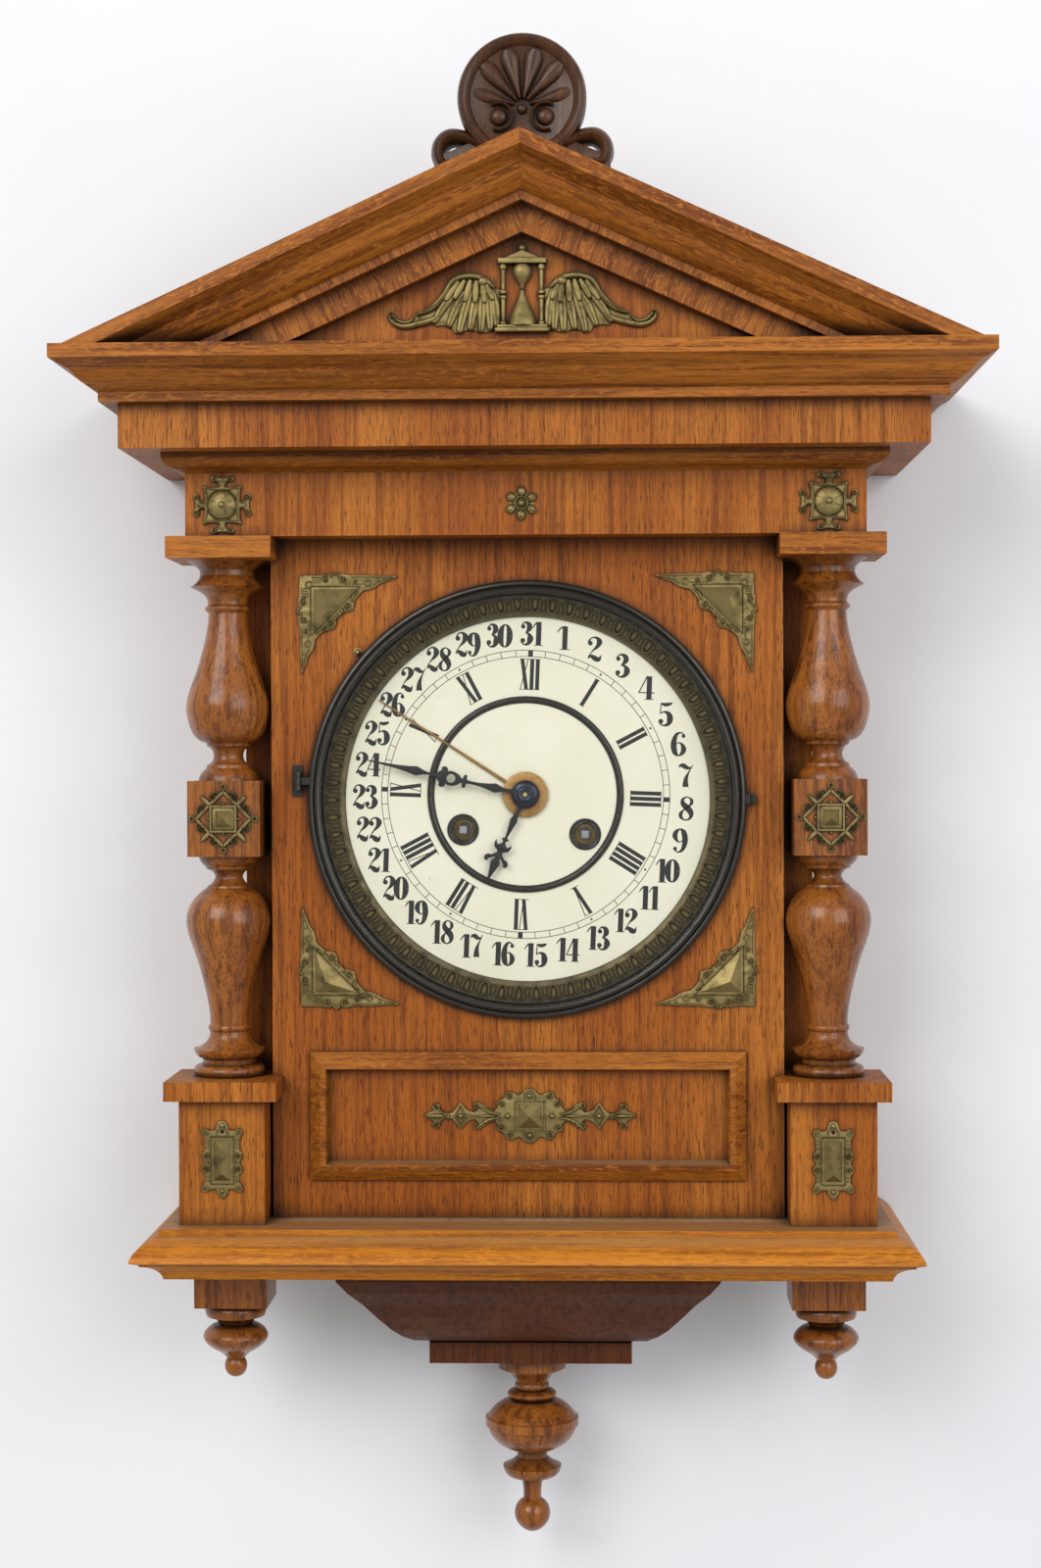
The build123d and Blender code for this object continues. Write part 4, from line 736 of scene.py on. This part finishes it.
def panel_mount():
    relief = Relief(PANEL_MOUNT_AT[0], PANEL_MOUNT_AT[1], PANEL_Y)
    right = PANEL_MOUNT_RIGHT + [(u, -v) for u, v in reversed(PANEL_MOUNT_RIGHT[:-1])]
    relief.plate([mirrored_outline(right[:-1] + [(0, -14.3)])], 1.3)
    relief.facets(rectangle(6.5, 6.5), (0, 0), 4.2, 1.1)
    relief.loop(rectangle(7.7, 7.7), 0.5, 0.8, 1.1)
    for up in (10.5, -10.2):
        relief.ring(0, up, 2.9, 0.5, 0.8, 1.1)
        relief.dome(0, up, 1.5, 1.5, 1.1)
    for side in (-1, 1):
        relief.move(0, side)
        for numbers in PANEL_SCROLLS:
            scroll(relief, *numbers)
        relief.dome(11.6, 0, 1.6, 1.6, 1.1)
        for v in (-1, 1):
            stem = [(15.4, 1.2, 0.5), (20, 1.6, 0.9), (24.4, 3.8, 0.8), (27.4, 6.2, 0.4)]
            relief.sweep([(u, up * v, w) for u, up, w in stem], 1.1, 1.0)
            relief.sweep([(44.4, 0.9 * v, 0.4), (46.6, 2.4 * v, 0.5), (47.2, 4.6 * v, 0.4)], 0.9, 1.0)
            for step in range(4):
                relief.sweep([(17.6 + 2.1 * step, (1.0 + 0.7 * step) * v, 0.3),
                              (19.0 + 2.1 * step, (2.6 + 0.9 * step) * v, 0.25)], 0.7, 1.5)
        pin(relief, 31.8, 0)
        relief.loop([(33.2, 0), (36, 5.4), (38.8, 0), (36, -5.4)], 0.45, 0.8, 1.1)
        relief.dome(36, 0, 1.5, 1.5, 1.1)
        relief.wire([(42.5, -1.2), (42.5, 1.2)], 0.7, 1.0, 1.1)
        relief.sweep([(44, 0, 0.5), (49, 0, 1.3), (55, 0, 0.2)], 1.4, 1.0)
        relief.sweep([(17, 0, 0.3), (22, 0, 0.8), (29.6, 0, 0.3)], 1.0, 1.1)
    relief.done("panel_mount_relief", stands_for=("panel_mount",))


WING = [
    (10, -0.5), (15.9, 1.3), (19.6, 6.3), (25, 7.8), (30.5, 6.7), (35.1, 5.8), (40.5, -3.3),
    (46.9, -9.7), (53.3, -12.4), (56.9, -16.9), (63.3, -15.1), (66, -11.9), (67.6, -12.4), (66.5, -16),
    (63.3, -18.8), (58.7, -19.7), (52.4, -18.3), (45.1, -16), (43.3, -18.3), (36, -17.9), (34.2, -21.6),
    (31.4, -21.8), (26, -19.7), (22.3, -21.4), (19.6, -21.8), (14.1, -20.6), (11, -18.9), (12.3, -10.6)
]
FEATHERS = [
    [(28, 4), (37, -5), (44, -15.6)], [(26, 3), (32.5, -8), (36.6, -17.4)],
    [(24, 3), (28.6, -9), (31.4, -20.4)], [(22, 2), (24.2, -9), (26, -19)],
    [(20, 2), (20.2, -9), (20.6, -20)], [(17.6, 1), (16.6, -9), (16, -19.2)],
    [(15, 0), (13.6, -8), (12.8, -17.6)]
]
SHORT_FEATHERS = (
    (18, 2, 15, -4.6), (20, 3, 19, -6), (23, 4, 23.6, -6), (26, 4.4, 28.6, -5.4), (29, 4.4, 33.6, -4),
    (32, 4, 38, -5)
)
# Posts and bulbs of the hourglass: up, radius
WING_POST = [
    (-18.4, 1.9), (-16.6, 1.9), (-16, 1.0), (-5.2, 1.25), (-4.8, 1.9), (-3.6, 1.9), (-3.1, 1.1),
    (-2.4, 1.9), (-1, 1.9), (-0.5, 1.0), (9.4, 1.25), (9.9, 2.0), (11.6, 2.0), (12.8, 1.6)
]
BULBS = [
    (-18.4, 7.2), (-16.6, 7.2), (-13, 6.1), (-8, 3.9), (-3, 1.5), (0, 0.8), (2.4, 1.5), (5, 3.7),
    (8, 5.0), (10.4, 4.8), (12.8, 3.4)
]
# Plates of its frame: half width, bottom, top, thickness
FRAME_PLATES = ((12, 12.5, 15, 4.6), (12.6, -19.8, -18.2, 4.6), (13.6, -21.7, -19.8, 5.0))


def wing(relief):
    relief.plate([WING], 1.2)
    for feather in FEATHERS:
        relief.sweep([(u, v, w) for (u, v), w in zip(feather, (1.0, 2.6, 1.9))], 1.5, 0.9)
        relief.dome(*feather[2], 1.9, 1.5, 0.9)
        relief.wire(feather, 0.22, 0.5, 2.2)
    for u, v, end_u, end_v in SHORT_FEATHERS:
        middle = ((u + end_u) / 2, (v + end_v) / 2, 1.9)
        relief.sweep([(u, v, 1.2), middle, (end_u, end_v, 1.5)], 1.2, 1.9)
        relief.dome(end_u, end_v, 1.5, 1.2, 1.9)
    relief.sweep([(14, 0.6, 1.0), (19.5, 5.0, 2.0), (27, 6.4, 1.9), (34.6, 4.4, 1.7), (39, -2.6, 1.7),
                  (45.6, -9.4, 1.6), (53, -12.6, 0.7)], 1.9, 1.2)
    relief.sweep([(20, 4.6, 0.3), (28, 5.8, 0.3), (35, 2.6, 0.3), (42, -6.4, 0.3), (50, -11.6, 0.2)],
                 0.7, 2.9)
    relief.dome(19.8, 3.8, 3.0, 2.6, 1.4)
    relief.sweep([(41, -12.4, 0.9), (46, -15.2, 1.6), (52.6, -17, 1.7), (58.6, -18.2, 1.5),
                  (63.4, -17.2, 1.3), (66.4, -14.6, 0.9), (66.6, -12.8, 0.6)], 1.6, 1.0)
    relief.sweep([(54, -13.6, 0.5), (57.4, -16.2, 0.9), (62, -15.6, 0.8), (65.2, -12.4, 0.6)], 1.2, 1.0)
    scroll(relief, 65.6, -12.9, 1.8, 0, 1.3)


def winged_hourglass():
    relief = Relief(HOURGLASS_AT[0], HOURGLASS_AT[1], TYMPANUM_Y)
    for side in (-1, 1):
        relief.move(0, side)
        wing(relief)
        relief.post(9.6, 0, WING_POST, base=1.6)
    relief.move()
    relief.post(0, 0, BULBS, side=14, base=1.0, squeeze=0.7)
    relief.wire([(-1.3, 0), (1.3, 0)], 0.5, 1.4, 1.2)
    for half, low, high, deep in FRAME_PLATES:
        relief.plate([[(-half, low), (half, low), (half, high), (-half, high)]], deep, 0.4)
    relief.plate([[(-9.4, 15), (9.4, 15), (0, 19.2)]], 3.6, 0.4)
    relief.dome(0, 20.2, 2.5, 4.2)
    relief.done("winged_hourglass_relief", stands_for=("winged_hourglass",))


# Door and dial
COVE = ((95.3, -8.0), (96.0, -7.6), (98.2, -7.0), (101.5, -3.2), (104.2, -0.5), (106.2, -0.5))


def cove(r):
    """Height of the sight ring's hollow, off the front panel."""
    for (r0, h0), (r1, h1) in zip(COVE, COVE[1:]):
        if r <= r1:
            return h0 + (h1 - h0) * max(0.0, (r - r0) / (r1 - r0))
    return COVE[-1][1]


def slope_sweep(relief, points, high):
    """A raised line that follows the hollow."""
    path = curve_through(points, 4)
    rows = []
    for k, (u, v, w) in enumerate(path):
        ahead, behind = path[min(k + 1, len(path) - 1)], path[max(k - 1, 0)]
        du, dv = ahead[0] - behind[0], ahead[1] - behind[1]
        size = math.hypot(du, dv) or 1.0
        row = []
        for a, h in ROUND[::2]:
            edge = u - a * w * dv / size, v + a * w * du / size
            row.append(relief.vert(*edge, cove(math.hypot(*edge)) - 0.05 + h * high))
        rows.append(row)
    relief.skin(rows)
    relief.cap(rows)


# The egg's loop: share of a unit to the side, radius
EGG = ((-0.5, 104.8), (-0.54, 101.8), (-0.42, 99.2), (0, 97.8), (0.42, 99.2), (0.54, 101.8), (0.5, 104.8))
EGGS = 70


def egg_and_dart():
    relief = Relief(0, DOOR_Z, PANEL_Y)
    step = math.pi / EGGS

    def spoke(turn, *parts):
        return [(*around(r, turn), w) for r, w in parts]

    for k in range(EGGS):
        turn = 2 * math.pi * (k + 0.5) / EGGS
        slope_sweep(relief, [(*around(r, turn + side * step), 0.5) for side, r in EGG], 1.3)
        slope_sweep(relief, spoke(turn, (99.8, 0.7), (101.6, 1.15), (104.6, 0.95)), 1.9)
        dart = turn + step
        slope_sweep(relief, spoke(dart, (98.2, 0.3), (100.6, 0.7), (102.6, 0.25)), 1.3)
        relief.dome(*around(103.9, dart), 0.7, 1.0, cove(103.9))
    relief.done("sight_ring_ornament")


# Turned profiles: radius, height
CHAPTER_RING = ((51.5, 0), (51.4, 0.7), (50.9, 1.3), (50.0, 1.7), (49.1, 1.6), (48.3, 1.1), (47.8, 0.5),
                (47.7, 0))
GROMMET = ((8.4, 0), (8.2, 0.8), (7.4, 1.3), (6.6, 0.9), (6.1, 1.1), (5.5, 0.8), (5.3, -1.2))
PIN_HEAD = ((2.4, 0), (2.3, 0.5), (1.7, 0.7), (1.5, 1.4), (0.9, 2.1), (0, 2.3))
NUT = ((2.4, -1.4), (7.2, -1.4), (7.4, 0), (7.2, 1.0), (6.2, 1.9), (4.9, 2.3), (4.5, 2.1), (4.1, 2.4),
       (3.0, 2.9), (2.6, 2.7), (1.6, 2.8), (1.2, 3.2), (0, 3.4))
NUT_TALL = NUT[-1][1]
DATE_HUB = ((12.0, 0), (12.0, 0.45), (11.6, 0.6), (5.4, 0.6), (5.3, 0))
CREST_DISC = ((0, 0), (32.4, 0), (32.5, 8.6), (31.6, 10.8), (29.4, 12.0), (27.4, 11.2), (25.8, 9.2),
              (18, 7.4), (8, 6.8), (0, 6.8))
WINDING_X, WINDING_Z = 32.0, -19.7


def dial_rings():
    relief = Relief(DIAL_X, DIAL_Z, DIAL_Y, DIAL_TURN)
    relief.lathe(0, 0, CHAPTER_RING, 128)
    for side in (-1, 1):
        relief.lathe(WINDING_X * side, WINDING_Z, GROMMET, 40)
    relief.done("dial_rings", "dark_brass", stands_for=("dial_brasses",))


def panel_pin():
    relief = Relief(PANEL_PIN_AT[0], PANEL_PIN_AT[1], PANEL_Y)
    relief.lathe(0, 0, PIN_HEAD, 20)
    relief.done("panel_pin")


# The dial's print was measured on the picture; this is the size of its unit in millimetres
PRINT = 0.5136


def print_line(relief, points, high=0.05, steps=0):
    relief.sweep([(u * PRINT, v * PRINT, w * PRINT) for u, v, w in points], high, profile=INK, steps=steps)


def print_ring(relief, r, width):
    turns = [2 * math.pi * k / 240 for k in range(240)]
    points = [tuple(part * PRINT for part in (*around(r, turn), width)) for turn in turns]
    relief.sweep(points, 0.05, profile=INK, closed=True, steps=0)


# Marks of the minute track: every so many minutes, inner and outer radius, half width, height
MARKS = ((15, 140.8, 146.8, 2.4, 0.055), (5, 142.9, 144.9, 1.0, 0.055), (1, 140.8, 146.8, 0.33, 0.05))
ROMAN = ("XII", "I", "II", "III", "IIII", "V", "VI", "VII", "VIII", "IX", "X", "XI")
ADVANCE = {"I": 5.7, "V": 9.8, "X": 9.8}
ROMAN_LOW, ROMAN_HIGH = 107.0, 138.0
# Strokes of a letter: across at its foot, across at its head, half width, height
LETTERS = {"I": [(0, 0, 2.0, 0.05)],
           "V": [(0.6, -2.4, 1.9, 0.052), (0.8, 4.0, 0.45, 0.05)],
           "X": [(2.6, -2.6, 1.9, 0.052), (-3.6, 3.6, 0.45, 0.05)]}


def minute_track(relief):
    for r in (140.6, 147.0):
        print_ring(relief, r, 0.33)
    for minute in range(60):
        turn = math.radians(6 * minute)
        low, high, width, tall = next(mark[1:] for mark in MARKS if minute % mark[0] == 0)
        print_line(relief, [(*around(r, turn), width) for r in (low, high)], tall)


def roman_hour(relief, text, turn):
    width = sum(ADVANCE[letter] for letter in text)
    start = -width / 2
    relief.move(DIAL_TURN + turn)
    for letter in text:
        middle = start + ADVANCE[letter] / 2
        start += ADVANCE[letter]
        for foot, head, half, tall in LETTERS[letter]:
            print_line(relief, [(middle + foot, ROMAN_LOW, half), (middle + head, ROMAN_HIGH, half)], tall)
    for r in (ROMAN_LOW, ROMAN_HIGH):
        print_line(relief, [(-width / 2 + 0.3, r, 0.32), (width / 2 - 0.3, r, 0.32)], 0.06)


ZERO = [(0.31 + 0.21 * math.cos(t), 0.5 + 0.46 * math.sin(t), 0.05 + 0.19 * abs(math.cos(t)) ** 1.5)
        for t in (2 * math.pi * k / 24 for k in range(25))]


def hundredths(points):
    return [tuple(number / 100 for number in point) for point in points]


SIX = hundredths([
    (50, 90, 5), (36, 98, 6), (20, 86, 14), (12, 50, 22), (18, 15, 20), (32, 2, 6), (46, 14, 16),
    (50, 32, 20), (42, 50, 10), (30, 56, 4), (20, 46, 4)
])
# Digits in hundredths of their height: strokes of (across, up, width), and balls of (across, up, radius)
NUMERALS = {
    "1": ([[(36, 0, 20), (36, 99, 20)], [(28, 97, 6), (16, 86, 5), (7, 72, 3)],
           [(16, 1.5, 3), (56, 1.5, 3)]], []),
    "2": ([[(8, 76, 6), (12, 86, 6), (22, 96, 5), (38, 96, 10), (49, 80, 22), (42, 60, 14),
            (24, 40, 5), (10, 16, 4)],
           [(8, 10, 5), (20, 19, 12), (34, 10, 20), (48, 6, 17), (56, 20, 4), (57, 26, 3)]],
          [(15, 73, 10)]),
    "3": ([[(9, 82, 5), (22, 96, 6), (41, 88, 18), (43, 70, 20), (30, 54, 5)],
           [(26, 54, 5), (42, 46, 12), (49, 28, 24), (40, 8, 14), (22, 3, 6), (9, 14, 6)]],
          [(15, 78, 9), (15, 20, 10)]),
    "4": ([[(34, 99, 5), (4, 30, 4)], [(2, 29, 4.5), (62, 29, 4.5)], [(42, 98, 20), (42, 0, 20)],
           [(24, 1.5, 3), (60, 1.5, 3)]], []),
    "5": ([[(14, 95, 6), (30, 90, 14), (50, 95, 10), (54, 100, 3)], [(14, 96, 4), (12, 52, 4)],
           [(12, 52, 5), (26, 60, 6), (43, 52, 18), (49, 30, 24), (42, 9, 14), (24, 3, 6),
            (10, 12, 6)]], [(15, 20, 10)]),
    "7": ([[(6, 84, 4), (10, 93, 10), (22, 92, 18), (36, 84, 14), (50, 86, 5), (56, 98, 3)],
           [(55, 94, 3), (42, 66, 6), (32, 36, 16), (32, 4, 24)]], []),
    "8": ([[(44, 94, 6), (30, 98, 5), (17, 86, 12), (20, 68, 20), (38, 50, 24), (50, 30, 20),
            (46, 10, 10), (30, 2, 5), (14, 12, 12), (12, 28, 14), (22, 44, 6), (38, 58, 5),
            (50, 72, 12), (50, 86, 12), (44, 94, 6)]], []),
}
DIGITS = {digit: ([hundredths(stroke) for stroke in strokes], hundredths(balls))
          for digit, (strokes, balls) in NUMERALS.items()}
DIGITS["0"] = ([ZERO], [])
DIGITS["6"] = ([SIX], [(0.48, 0.84, 0.08)])
DIGITS["9"] = ([[(0.62 - u, 1 - v, w) for u, v, w in SIX]], [(0.14, 0.16, 0.08)])
DIGIT_HIGH, DATE_R = 12.5, 84.3
DIGIT_ADVANCE = {"1": 0.44}


def date_number(relief, number):
    x, z = around(DATE_R, 2 * math.pi * number / 31)
    text = str(number)
    squeeze = 0.92 if len(text) == 2 else 1.12
    widths = [DIGIT_ADVANCE.get(digit, 0.57) * squeeze for digit in text]
    start = -sum(widths) / 2
    for digit, width in zip(text, widths):
        middle = start + width / 2
        start += width

        def at(u, v):
            return x + (middle + (u - 0.31) * squeeze) * DIGIT_HIGH, z + (v - 0.5) * DIGIT_HIGH

        strokes, balls = DIGITS[digit]
        for n, stroke in enumerate(strokes):
            points = [(*at(u, v), w / 2 * DIGIT_HIGH * 1.08) for u, v, w in stroke]
            relief.sweep(points, 0.05 + 0.004 * n, profile=INK, steps=5 if len(points) > 2 else 0)
        for u, v, r in balls:
            relief.spot(*at(u, v), r * DIGIT_HIGH, 0.065)


def dial_print():
    relief = Relief(DIAL_X, DIAL_Z, DIAL_Y, DIAL_TURN)
    minute_track(relief)
    for hour, text in enumerate(ROMAN):
        roman_hour(relief, text, 30 * hour)
    relief.move(DIAL_TURN)
    for number in range(1, 32):
        date_number(relief, number)
    relief.done("dial_print", "black_hand", look="dial_ink", weld=0)


MINUTE_SHAPE = [
    (3.5, 8), (2.2, 16), (1.8, 22), (4.9, 31), (3.2, 38), (1.8, 48), (1.5, 58), (2.2, 61), (6.5, 61.5),
    (6.8, 63), (6.5, 64.5), (2.4, 65.5), (2.4, 67), (5.2, 69.5), (7.2, 74), (7.6, 79), (6.4, 82),
    (8.4, 81.6), (10.4, 83.5), (10.8, 86.5), (9.2, 88.6), (6.6, 88.2), (4.4, 90.5), (2.2, 93),
    (1.4, 96), (1.3, 101), (2.6, 107), (4.8, 113), (3.2, 122), (1.9, 134), (1.1, 150), (0.4, 167)
]
HOUR_SHAPE = [
    (3.5, 8), (2.0, 14), (1.7, 20), (3.8, 29), (2.6, 37), (1.4, 46), (1.4, 48.5), (3.4, 49.2),
    (3.4, 51), (1.6, 51.8), (1.6, 54), (3.4, 56.2), (5.2, 57.4), (7.2, 55.2), (8.2, 52.6), (9.2, 56),
    (8.2, 59.8), (6, 61.8), (3.8, 62.6), (2.6, 64.4), (4.4, 66.8), (7.2, 69.4), (10.0, 69.8),
    (12.4, 71.6), (13.0, 74.6), (11.2, 77.4), (8.4, 76.6), (8.2, 74.4), (5.8, 72.2), (3.6, 70.4),
    (2.2, 70.6), (3.8, 73.2), (4.9, 76.6), (3.8, 81), (2.2, 88), (0.45, 97.7)
]


def clock_hand(name, body, shape, face, turn, holes):
    relief = Relief(DIAL_X, DIAL_Z, face, turn)
    outline = mirrored_outline([(w * PRINT, r * PRINT) for w, r in shape])
    hub = [around(5.2, math.radians(25 + 31 * k)) for k in reversed(range(11))]
    gaps = [circle(u * PRINT, v * PRINT, r * PRINT, 12) for u, v, r in holes]
    relief.plate([outline + hub] + gaps, 0.6, 0.16)
    relief.done(f"{name}_blade", "black_hand", body, (name,), smooth=30)


def date_hand():
    relief = Relief(DIAL_X, DIAL_Z, DATE_Y, DATE_TURN)
    ridge = [(1, 0), (0.15, 1), (-0.15, 1), (-1, 0)]
    relief.sweep([(0, 9, 1.0), (0, 40, 0.75), (0, 91.4, 0.4)], 0.6, profile=ridge, steps=3)
    relief.lathe(0, 0, DATE_HUB, 48)
    relief.done("date_hand_blade", "bright_brass", "date", ("date_hand",), "date_brass")


def hand_nut():
    low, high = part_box("hand_nut")
    relief = Relief(DIAL_X, DIAL_Z, low[1] / MM + NUT_TALL)
    relief.lathe(0, 0, NUT, 40)
    relief.done("hand_nut_dome", "blued_steel", "minute", ("hand_nut",))


# Flutes of the crest: degrees off upright, half width, height
FLUTES = ((-74, 4.4, 2.2), (-43, 5.0, 3.6), (-14.5, 5.3, 3.6), (14.5, 5.3, 3.6), (43, 5.0, 3.6),
          (74, 4.4, 2.2))
FLUTE = ((4, 0.2), (11, 0.45), (19, 0.8), (25, 1.0), (28.6, 0.75))
SKIRT = [(0, -24.9), (45.5, -45.7), (44, -29.5), (24, -21), (-24, -21), (-44, -29.5), (-45.5, -45.7)]


def crest():
    relief = Relief(CREST_AT[0], CREST_AT[1], CREST_Y)
    relief.lathe(0, 0, CREST_DISC, 72)
    for turn, wide, high in FLUTES:
        rib = [(*around(r, math.radians(turn)), w * wide) for r, w in FLUTE]
        relief.sweep([(u, -4 + v, w) for u, v, w in rib], high, 6.8)
    for side in (-1, 1):
        relief.move(0, side)
        relief.dome(11.7, -9.4, 4.7, 3.0, 7.4)
        relief.sweep(arc_points(11.7, -9.4, 6.9, 60, 290, 12, 1.1), 4.0, 7.0, steps=0)
        relief.sweep([(20, -24, 3.0), (25.4, -20.6, 3.8), (31, -18.6, 4.4), (37, -18.6, 4.8),
                      (41.2, -22.4, 4.5), (42.2, -28, 3.8), (39.4, -32.4, 3.2), (35.4, -31.6, 2.4)], 10.5)
    relief.move()
    relief.dome(0, -5.4, 2.6, 2.4, 7.2)
    relief.plate([SKIRT], 8)
    relief.done("crest_carving", "oak_dark", stands_for=("crest_shell",))


crest()
corner_mounts()
rosettes()
frieze_flower()
column_mounts()
pedestal_mounts()
panel_mount()
winged_hourglass()
egg_and_dart()
dial_rings()
panel_pin()
dial_print()
clock_hand("minute_hand", "minute", MINUTE_SHAPE, MINUTE_Y, MINUTE_TURN, [(0, 77.2, 4.5)])
clock_hand("hour_hand", "hour", HOUR_SHAPE, HOUR_Y, HOUR_TURN, [])
date_hand()
hand_nut()


# Stage, camera and light
def backdrop():
    mesh = bpy.data.meshes.new("wall")
    corners = [(x * WALL_REACH, WALL_Y, z * WALL_REACH) for x, z in ((-1, -1), (1, -1), (1, 1), (-1, 1))]
    mesh.from_pydata(corners, [], [(0, 1, 2, 3)])
    wall = bpy.data.objects.new("wall", mesh)
    bpy.context.scene.collection.objects.link(wall)
    s = Shader("wall_paint")
    cloud = s.noise(s.place(), 2.2, 4.0, 0.5)
    colour = s.mix(s.ramp(cloud, 0.3, 0.7), srgb(227, 228, 232), srgb(233, 234, 237))
    s.finish(Base_Color=colour, Roughness=0.9)
    behind = s.add("ShaderNodeNewGeometry").outputs["Backfacing"]
    s.blend(behind, s.body.outputs[0], s.add("ShaderNodeBsdfTransparent").outputs[0])
    mesh.materials.append(s.material)


def make_camera():
    data = bpy.data.cameras.new("camera")
    data.sensor_width = SENSOR
    data.lens = FOCAL_PIXELS / PICTURE_LONG * SENSOR
    camera = bpy.data.objects.new("camera", data)
    bpy.context.scene.collection.objects.link(camera)
    left, down = math.radians(CAMERA_LEFT), math.radians(CAMERA_DOWN)
    ahead = Vector((-math.sin(left) * math.cos(down), math.cos(left) * math.cos(down), -math.sin(down)))
    camera.location = Vector(CAMERA_PLACE) * MM
    camera.rotation_mode = "QUATERNION"
    roll = Quaternion((0, 0, 1), math.radians(-CAMERA_ROLL))
    camera.rotation_quaternion = ahead.to_track_quat("-Z", "Y") @ roll
    bpy.context.scene.camera = camera


def lamp(name, place, target, size, power, colour):
    data = bpy.data.lights.new(name, "AREA")
    data.shape = "RECTANGLE"
    data.size, data.size_y = size
    data.energy = power
    data.color = colour
    light = bpy.data.objects.new(name, data)
    light.location = place
    aim = Vector(target) - Vector(place)
    light.rotation_mode = "QUATERNION"
    light.rotation_quaternion = aim.to_track_quat("-Z", "Y")
    bpy.context.scene.collection.objects.link(light)


def world():
    made = bpy.data.worlds.new("studio")
    made.use_nodes = True
    nodes, links = made.node_tree.nodes, made.node_tree.links
    nodes.clear()
    out = nodes.new("ShaderNodeOutputWorld")
    seen, soft = nodes.new("ShaderNodeBackground"), nodes.new("ShaderNodeBackground")
    seen.inputs[0].default_value = srgb(236, 238, 241)
    soft.inputs[0].default_value = (1.0, 1.0, 1.0, 1.0)
    soft.inputs[1].default_value = 0.5
    path = nodes.new("ShaderNodeLightPath")
    mixed = nodes.new("ShaderNodeMixShader")
    links.new(path.outputs["Is Camera Ray"], mixed.inputs[0])
    links.new(soft.outputs[0], mixed.inputs[1])
    links.new(seen.outputs[0], mixed.inputs[2])
    links.new(mixed.outputs[0], out.inputs[0])
    bpy.context.scene.world = made


backdrop()
make_camera()
world()
lamp("key", (-1.3, -2.3, 1.1), (0, 0, -0.2), (1.8, 1.6), 47, (1.0, 0.99, 0.97))
lamp("fill", (1.5, -2.2, 0.5), (0, 0, -0.25), (1.8, 1.8), 32, (0.98, 0.99, 1.0))
bpy.context.scene.view_settings.view_transform = "Standard"
